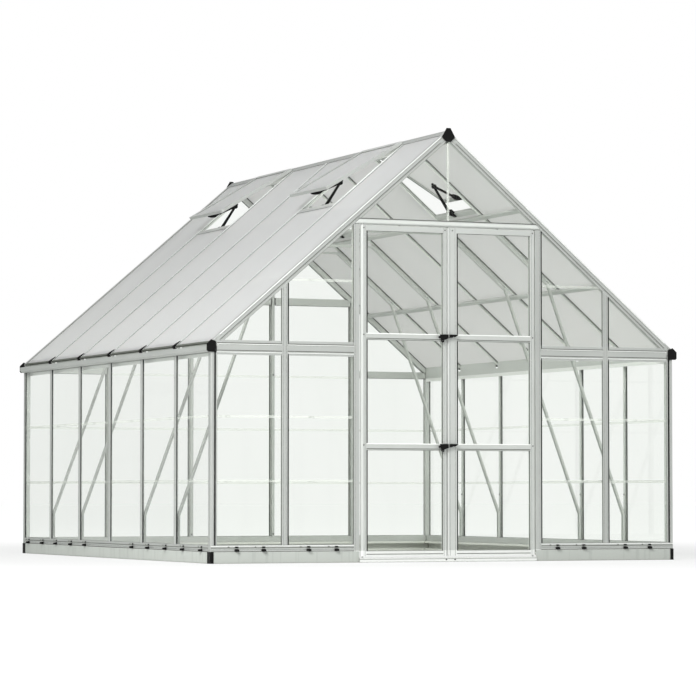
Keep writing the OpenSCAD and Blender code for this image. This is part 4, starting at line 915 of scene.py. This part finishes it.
# %% The beads
bead_ups, bead_end = (slope_len - 0.040, slope_len - 0.012), 0.037
hinge_up, half_sash, hinge_r = slope_len - 0.037, 0.299, 0.0045
ridge_runs, hinge_runs = [], []
for face, sign in (("left_slope", -1), ("right_slope", 1)):
    a, b = sorted((sign * (front_y + bead_end), sign * (back_y - bead_end)))
    ridge_runs += [run_on(face, (a, up), (b, up)) for up in bead_ups]
    for k in vent_bays:
        middle = sign * (side_edges[k] + side_bay / 2)
        hinge_runs.append(run_on(face, (middle - half_sash, hinge_up), (middle + half_sash, hinge_up)))
add("ridge_beads", carried(bead(0.003, 0.0012, -0.0015, 5), ridge_runs), bars["along"], "house")
round_ways = np.arange(12) * np.pi / 6
hinge_round = hinge_r * np.stack([np.cos(round_ways), np.sin(round_ways)], axis=-1)
add("vent_hinge_beads", carried(hinge_round, hinge_runs), bars["along"], "house")
print(len(ridge_runs), "ridge beads and", len(hinge_runs), "hinge beads")

# %% [markdown]
# ## Base clips
# Black clips press the wall's sill down on the steel base. They stand near the ends of the
# bays, not at even distances, and were measured one by one. A clip is a slim tab on the sill
# with a thick nose below it that stands out well, on the back less, and a small grey screw
# sits beside each. A clip could be a box with a bevel, but its face
# is domed like all moulded parts, so it is worked out as a surface: round the rim it follows a
# rounded rectangle, and from the rim to the middle it rises quickly and then flattens.

# %% A crowned pad and a screw head, and the clips
def crowned_pad(width, height, depth, sides=16, rings=4):
    """Round the rim (angle a) it follows the superellipse |x|^n + |y|^n = 1 with n = 5; towards
    the middle (v from 1 to 0) it rises as the square root of (1 - v^4), times depth."""
    a = np.arange(sides) * 2 * np.pi / sides + np.pi / sides
    v = np.linspace(1, 0.25, rings)[:, None]
    reach = (np.abs(np.cos(a)) ** 5 + np.abs(np.sin(a)) ** 5) ** (-1 / 5)
    x = v * width / 2 * reach * np.cos(a)
    y = v * height / 2 * reach * np.sin(a)
    z = np.broadcast_to(depth * np.sqrt(1 - v ** 4), x.shape)
    top = np.arange(sides) + (rings - 1) * sides
    points = np.stack([x, y, z], axis=-1).reshape(-1, 3)
    return points, list(grid_faces(rings, sides, closed=True)) + [top, np.arange(sides)[::-1]]


def screw_head(radius, height, sides=12):
    """A domed head with a recess: rings of the radii v * radius and the heights w * height."""
    v = np.array([1.0, 0.94, 0.72, 0.42, 0.36])[:, None]
    w = np.array([0.0, 0.55, 0.95, 1.0, 0.45])[:, None]
    a = np.arange(sides) * 2 * np.pi / sides
    x, y = radius * v * np.cos(a), radius * v * np.sin(a)
    z = np.broadcast_to(height * w, x.shape)
    points = np.stack([x, y, z], axis=-1).reshape(-1, 3)
    top = np.arange(sides) + (len(v) - 1) * sides
    return points, list(grid_faces(len(v), sides, closed=True)) + [top, np.arange(sides)[::-1]]


front_clips = [0.725, 0.902, 1.185, 1.353]
side_clips = [-1.656, -1.347, -1.041, -0.728, -0.437, 0.488, 0.780, 1.096, 1.388, 1.700]
clip_rows = {
    "front": [s * x for s in (-1, 1) for x in front_clips],
    "back": [s * x for s in (-1, 1) for x in (0.16, 0.45, 0.76, 1.06, 1.36)],
    "left": [-y for y in side_clips],
    "right": list(side_clips),
}
nose_z, tab_z, sill_screw_z = 0.0765, 0.0955, 0.0965
nose_depth, back_nose_depth, screw_aside = 0.022, 0.0075, 0.05
clips, heads = [], []
for face, row in clip_rows.items():
    spots, outward = on_face(face, [(u, nose_z) for u in row])
    nose = crowned_pad(0.026, 0.016, back_nose_depth if face == "back" else nose_depth)
    clips.append(placed(nose, spots, outward, upright))
    spots, outward = on_face(face, [(u, tab_z) for u in row])
    clips.append(placed(crowned_pad(0.022, 0.008, 0.004), spots, outward, upright))
    spots, outward = on_face(face, [(u - screw_aside, sill_screw_z) for u in row])
    heads.append(placed(screw_head(0.0040, 0.0022), spots, outward, upright))
add("base_clips", joined(clips), black_plastic, "house", smooth=True)
add("sill_screws", joined(heads), grey_rubber, "house", smooth=True)
print(sum(len(row) for row in clip_rows.values()), "clips and as many screws")

# %% [markdown]
# ## Screws and bolts of the frame
# Every joint of the frame is bolted from inside, where the round heads show on the studs and
# the mullions, and the doors' corners and rails are screwed from outside. The zinc has gone
# dark. One domed head with a recess serves for all of them, and only the places differ.

# %% The screws
steel_screw, tree, out = new_material("zinc_screw")
clouds = use_group(tree, grain, Place=own_metres(tree), Coarse=40.0, Fine=500.0)
crevice_shading = use_group(tree, crevice_shade, Reach=0.004)
zinc_and_lit_inside = blended(tree, clouds.outputs["Cloud"], (0.10, 0.105, 0.10, 1), (0.18, 0.185, 0.175, 1))
# Painted shade in the screw's recess.
with_crevice_shade = blended(tree, crevice_shading.outputs["Painted Shade"], zinc_and_lit_inside, (0.05, 0.05, 0.045, 1))
surface = wire(tree, "ShaderNodeBsdfPrincipled", None, Base_Color=with_crevice_shade, Metallic=0.8, Roughness=0.35)
show(surface, out)

stud_in, bar_in = half_w - bar, 0.034
stud_bolt_z, front_bolt_z, back_bolt_z = (0.121, 0.40), (0.122, 1.300), (0.122, 1.240)
bolt = screw_head(0.0055, 0.003)
bolts = []
for sign in (-1, 1):
    spots = [(sign * stud_in, side_edges[k], z) for k in range(1, 6) for z in stud_bolt_z]
    bolts.append(placed(bolt, spots, (-sign, 0, 0), upright))
    spots = [(sign * x, front_y + bar_in, z) for x in (post_x, mullion_x) for z in front_bolt_z]
    bolts.append(placed(bolt, spots, (0, 1, 0), upright))
    spots = [(sign * x, back_y - bar_in, z) for x in (0.303, 0.909) for z in back_bolt_z]
    bolts.append(placed(bolt, spots, forward, upright))
add("frame_bolts", joined(bolts), steel_screw, "house", smooth=True)

leaf_screw_z = (0.692, 1.345, 1.978)
for door, (a, b) in leaf_spans.items():
    outer, inner = (a - 0.017, b + 0.013) if door == "left_door" else (b + 0.017, a - 0.028)
    spots = [(x, door_y, z) for x in (outer, inner) for z in leaf_screw_z]
    heads = placed(screw_head(0.004, 0.0018), spots, forward, upright)
    add(door + "_screws", heads, steel_screw, door, smooth=True)
print("bolt heads:", sum(len(points) for points, faces in bolts) // len(bolt[0]))

# %% [markdown]
# ## The doors' closing seal
# Where the two leaves meet, a pale brush strip on the right leaf's edge keeps the draught
# out. Its pale tone is a painted highlight: it stands for the lit edge of the right leaf in the gap, so that
# the gap shows as a light line.
# A brush of real hairs is too fine to see here: a flat strip with a rounded edge is enough.

# Under the gap, two black plugs close holes in the threshold.

# %% The brush strip, and the two plugs of the threshold below it
# Painted highlight: the strip's pale tone stands for the right leaf's lit edge.
lit_edge_brush, tree, out = new_material("lit_edge_brush")
long_hairs = wire(tree, "ShaderNodeMapping", None, Vector=own_metres(tree), Scale=(0.05, 1, 1))
hairs = use_group(tree, grain, Place=long_hairs.outputs[0], Coarse=900.0, Fine=1500.0)
tone = blended(tree, hairs.outputs["Cloud"], (0.55, 0.56, 0.54, 1), (0.75, 0.76, 0.74, 1))
surface = wire(tree, "ShaderNodeBsdfPrincipled", None, Base_Color=tone, Roughness=0.8)
show(surface, out)
brush_x, brush_y, brush_out, leaf_gap = -0.006, -1.812, 0.0024, 0.008
strip_run = [((brush_x, brush_y, 0.040), (brush_x, brush_y, 1.990), (-1.0, 0, 0))]
add("lit_closing_brush", carried(bead(0.006, brush_out, -0.003), strip_run), lit_edge_brush, "right_door")

plug_spots = [(x, door_y, 0.0145) for x in (-0.0196, 0.0368)]
plugs = placed(crowned_pad(0.009, 0.008, 0.003), plug_spots, forward, upright)
add("threshold_plugs", plugs, black_plastic, "house", smooth=True)
print("the brush stands out", brush_out, "m into a gap of", leaf_gap, "m")

# %% [markdown]
# ## The sizes at the end
# The greenhouse has to fit where the imported model fits. The box of the finished model is
# taken once more and kept beside the first one, and how far it differs from it is printed.

# %% Keep the sizes, and finish
visual_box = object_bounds()
grown = [round(b - a, 4) for p, q in zip(cad_box, visual_box) for a, b in zip(p, q)]
print("the visual box differs by", grown)
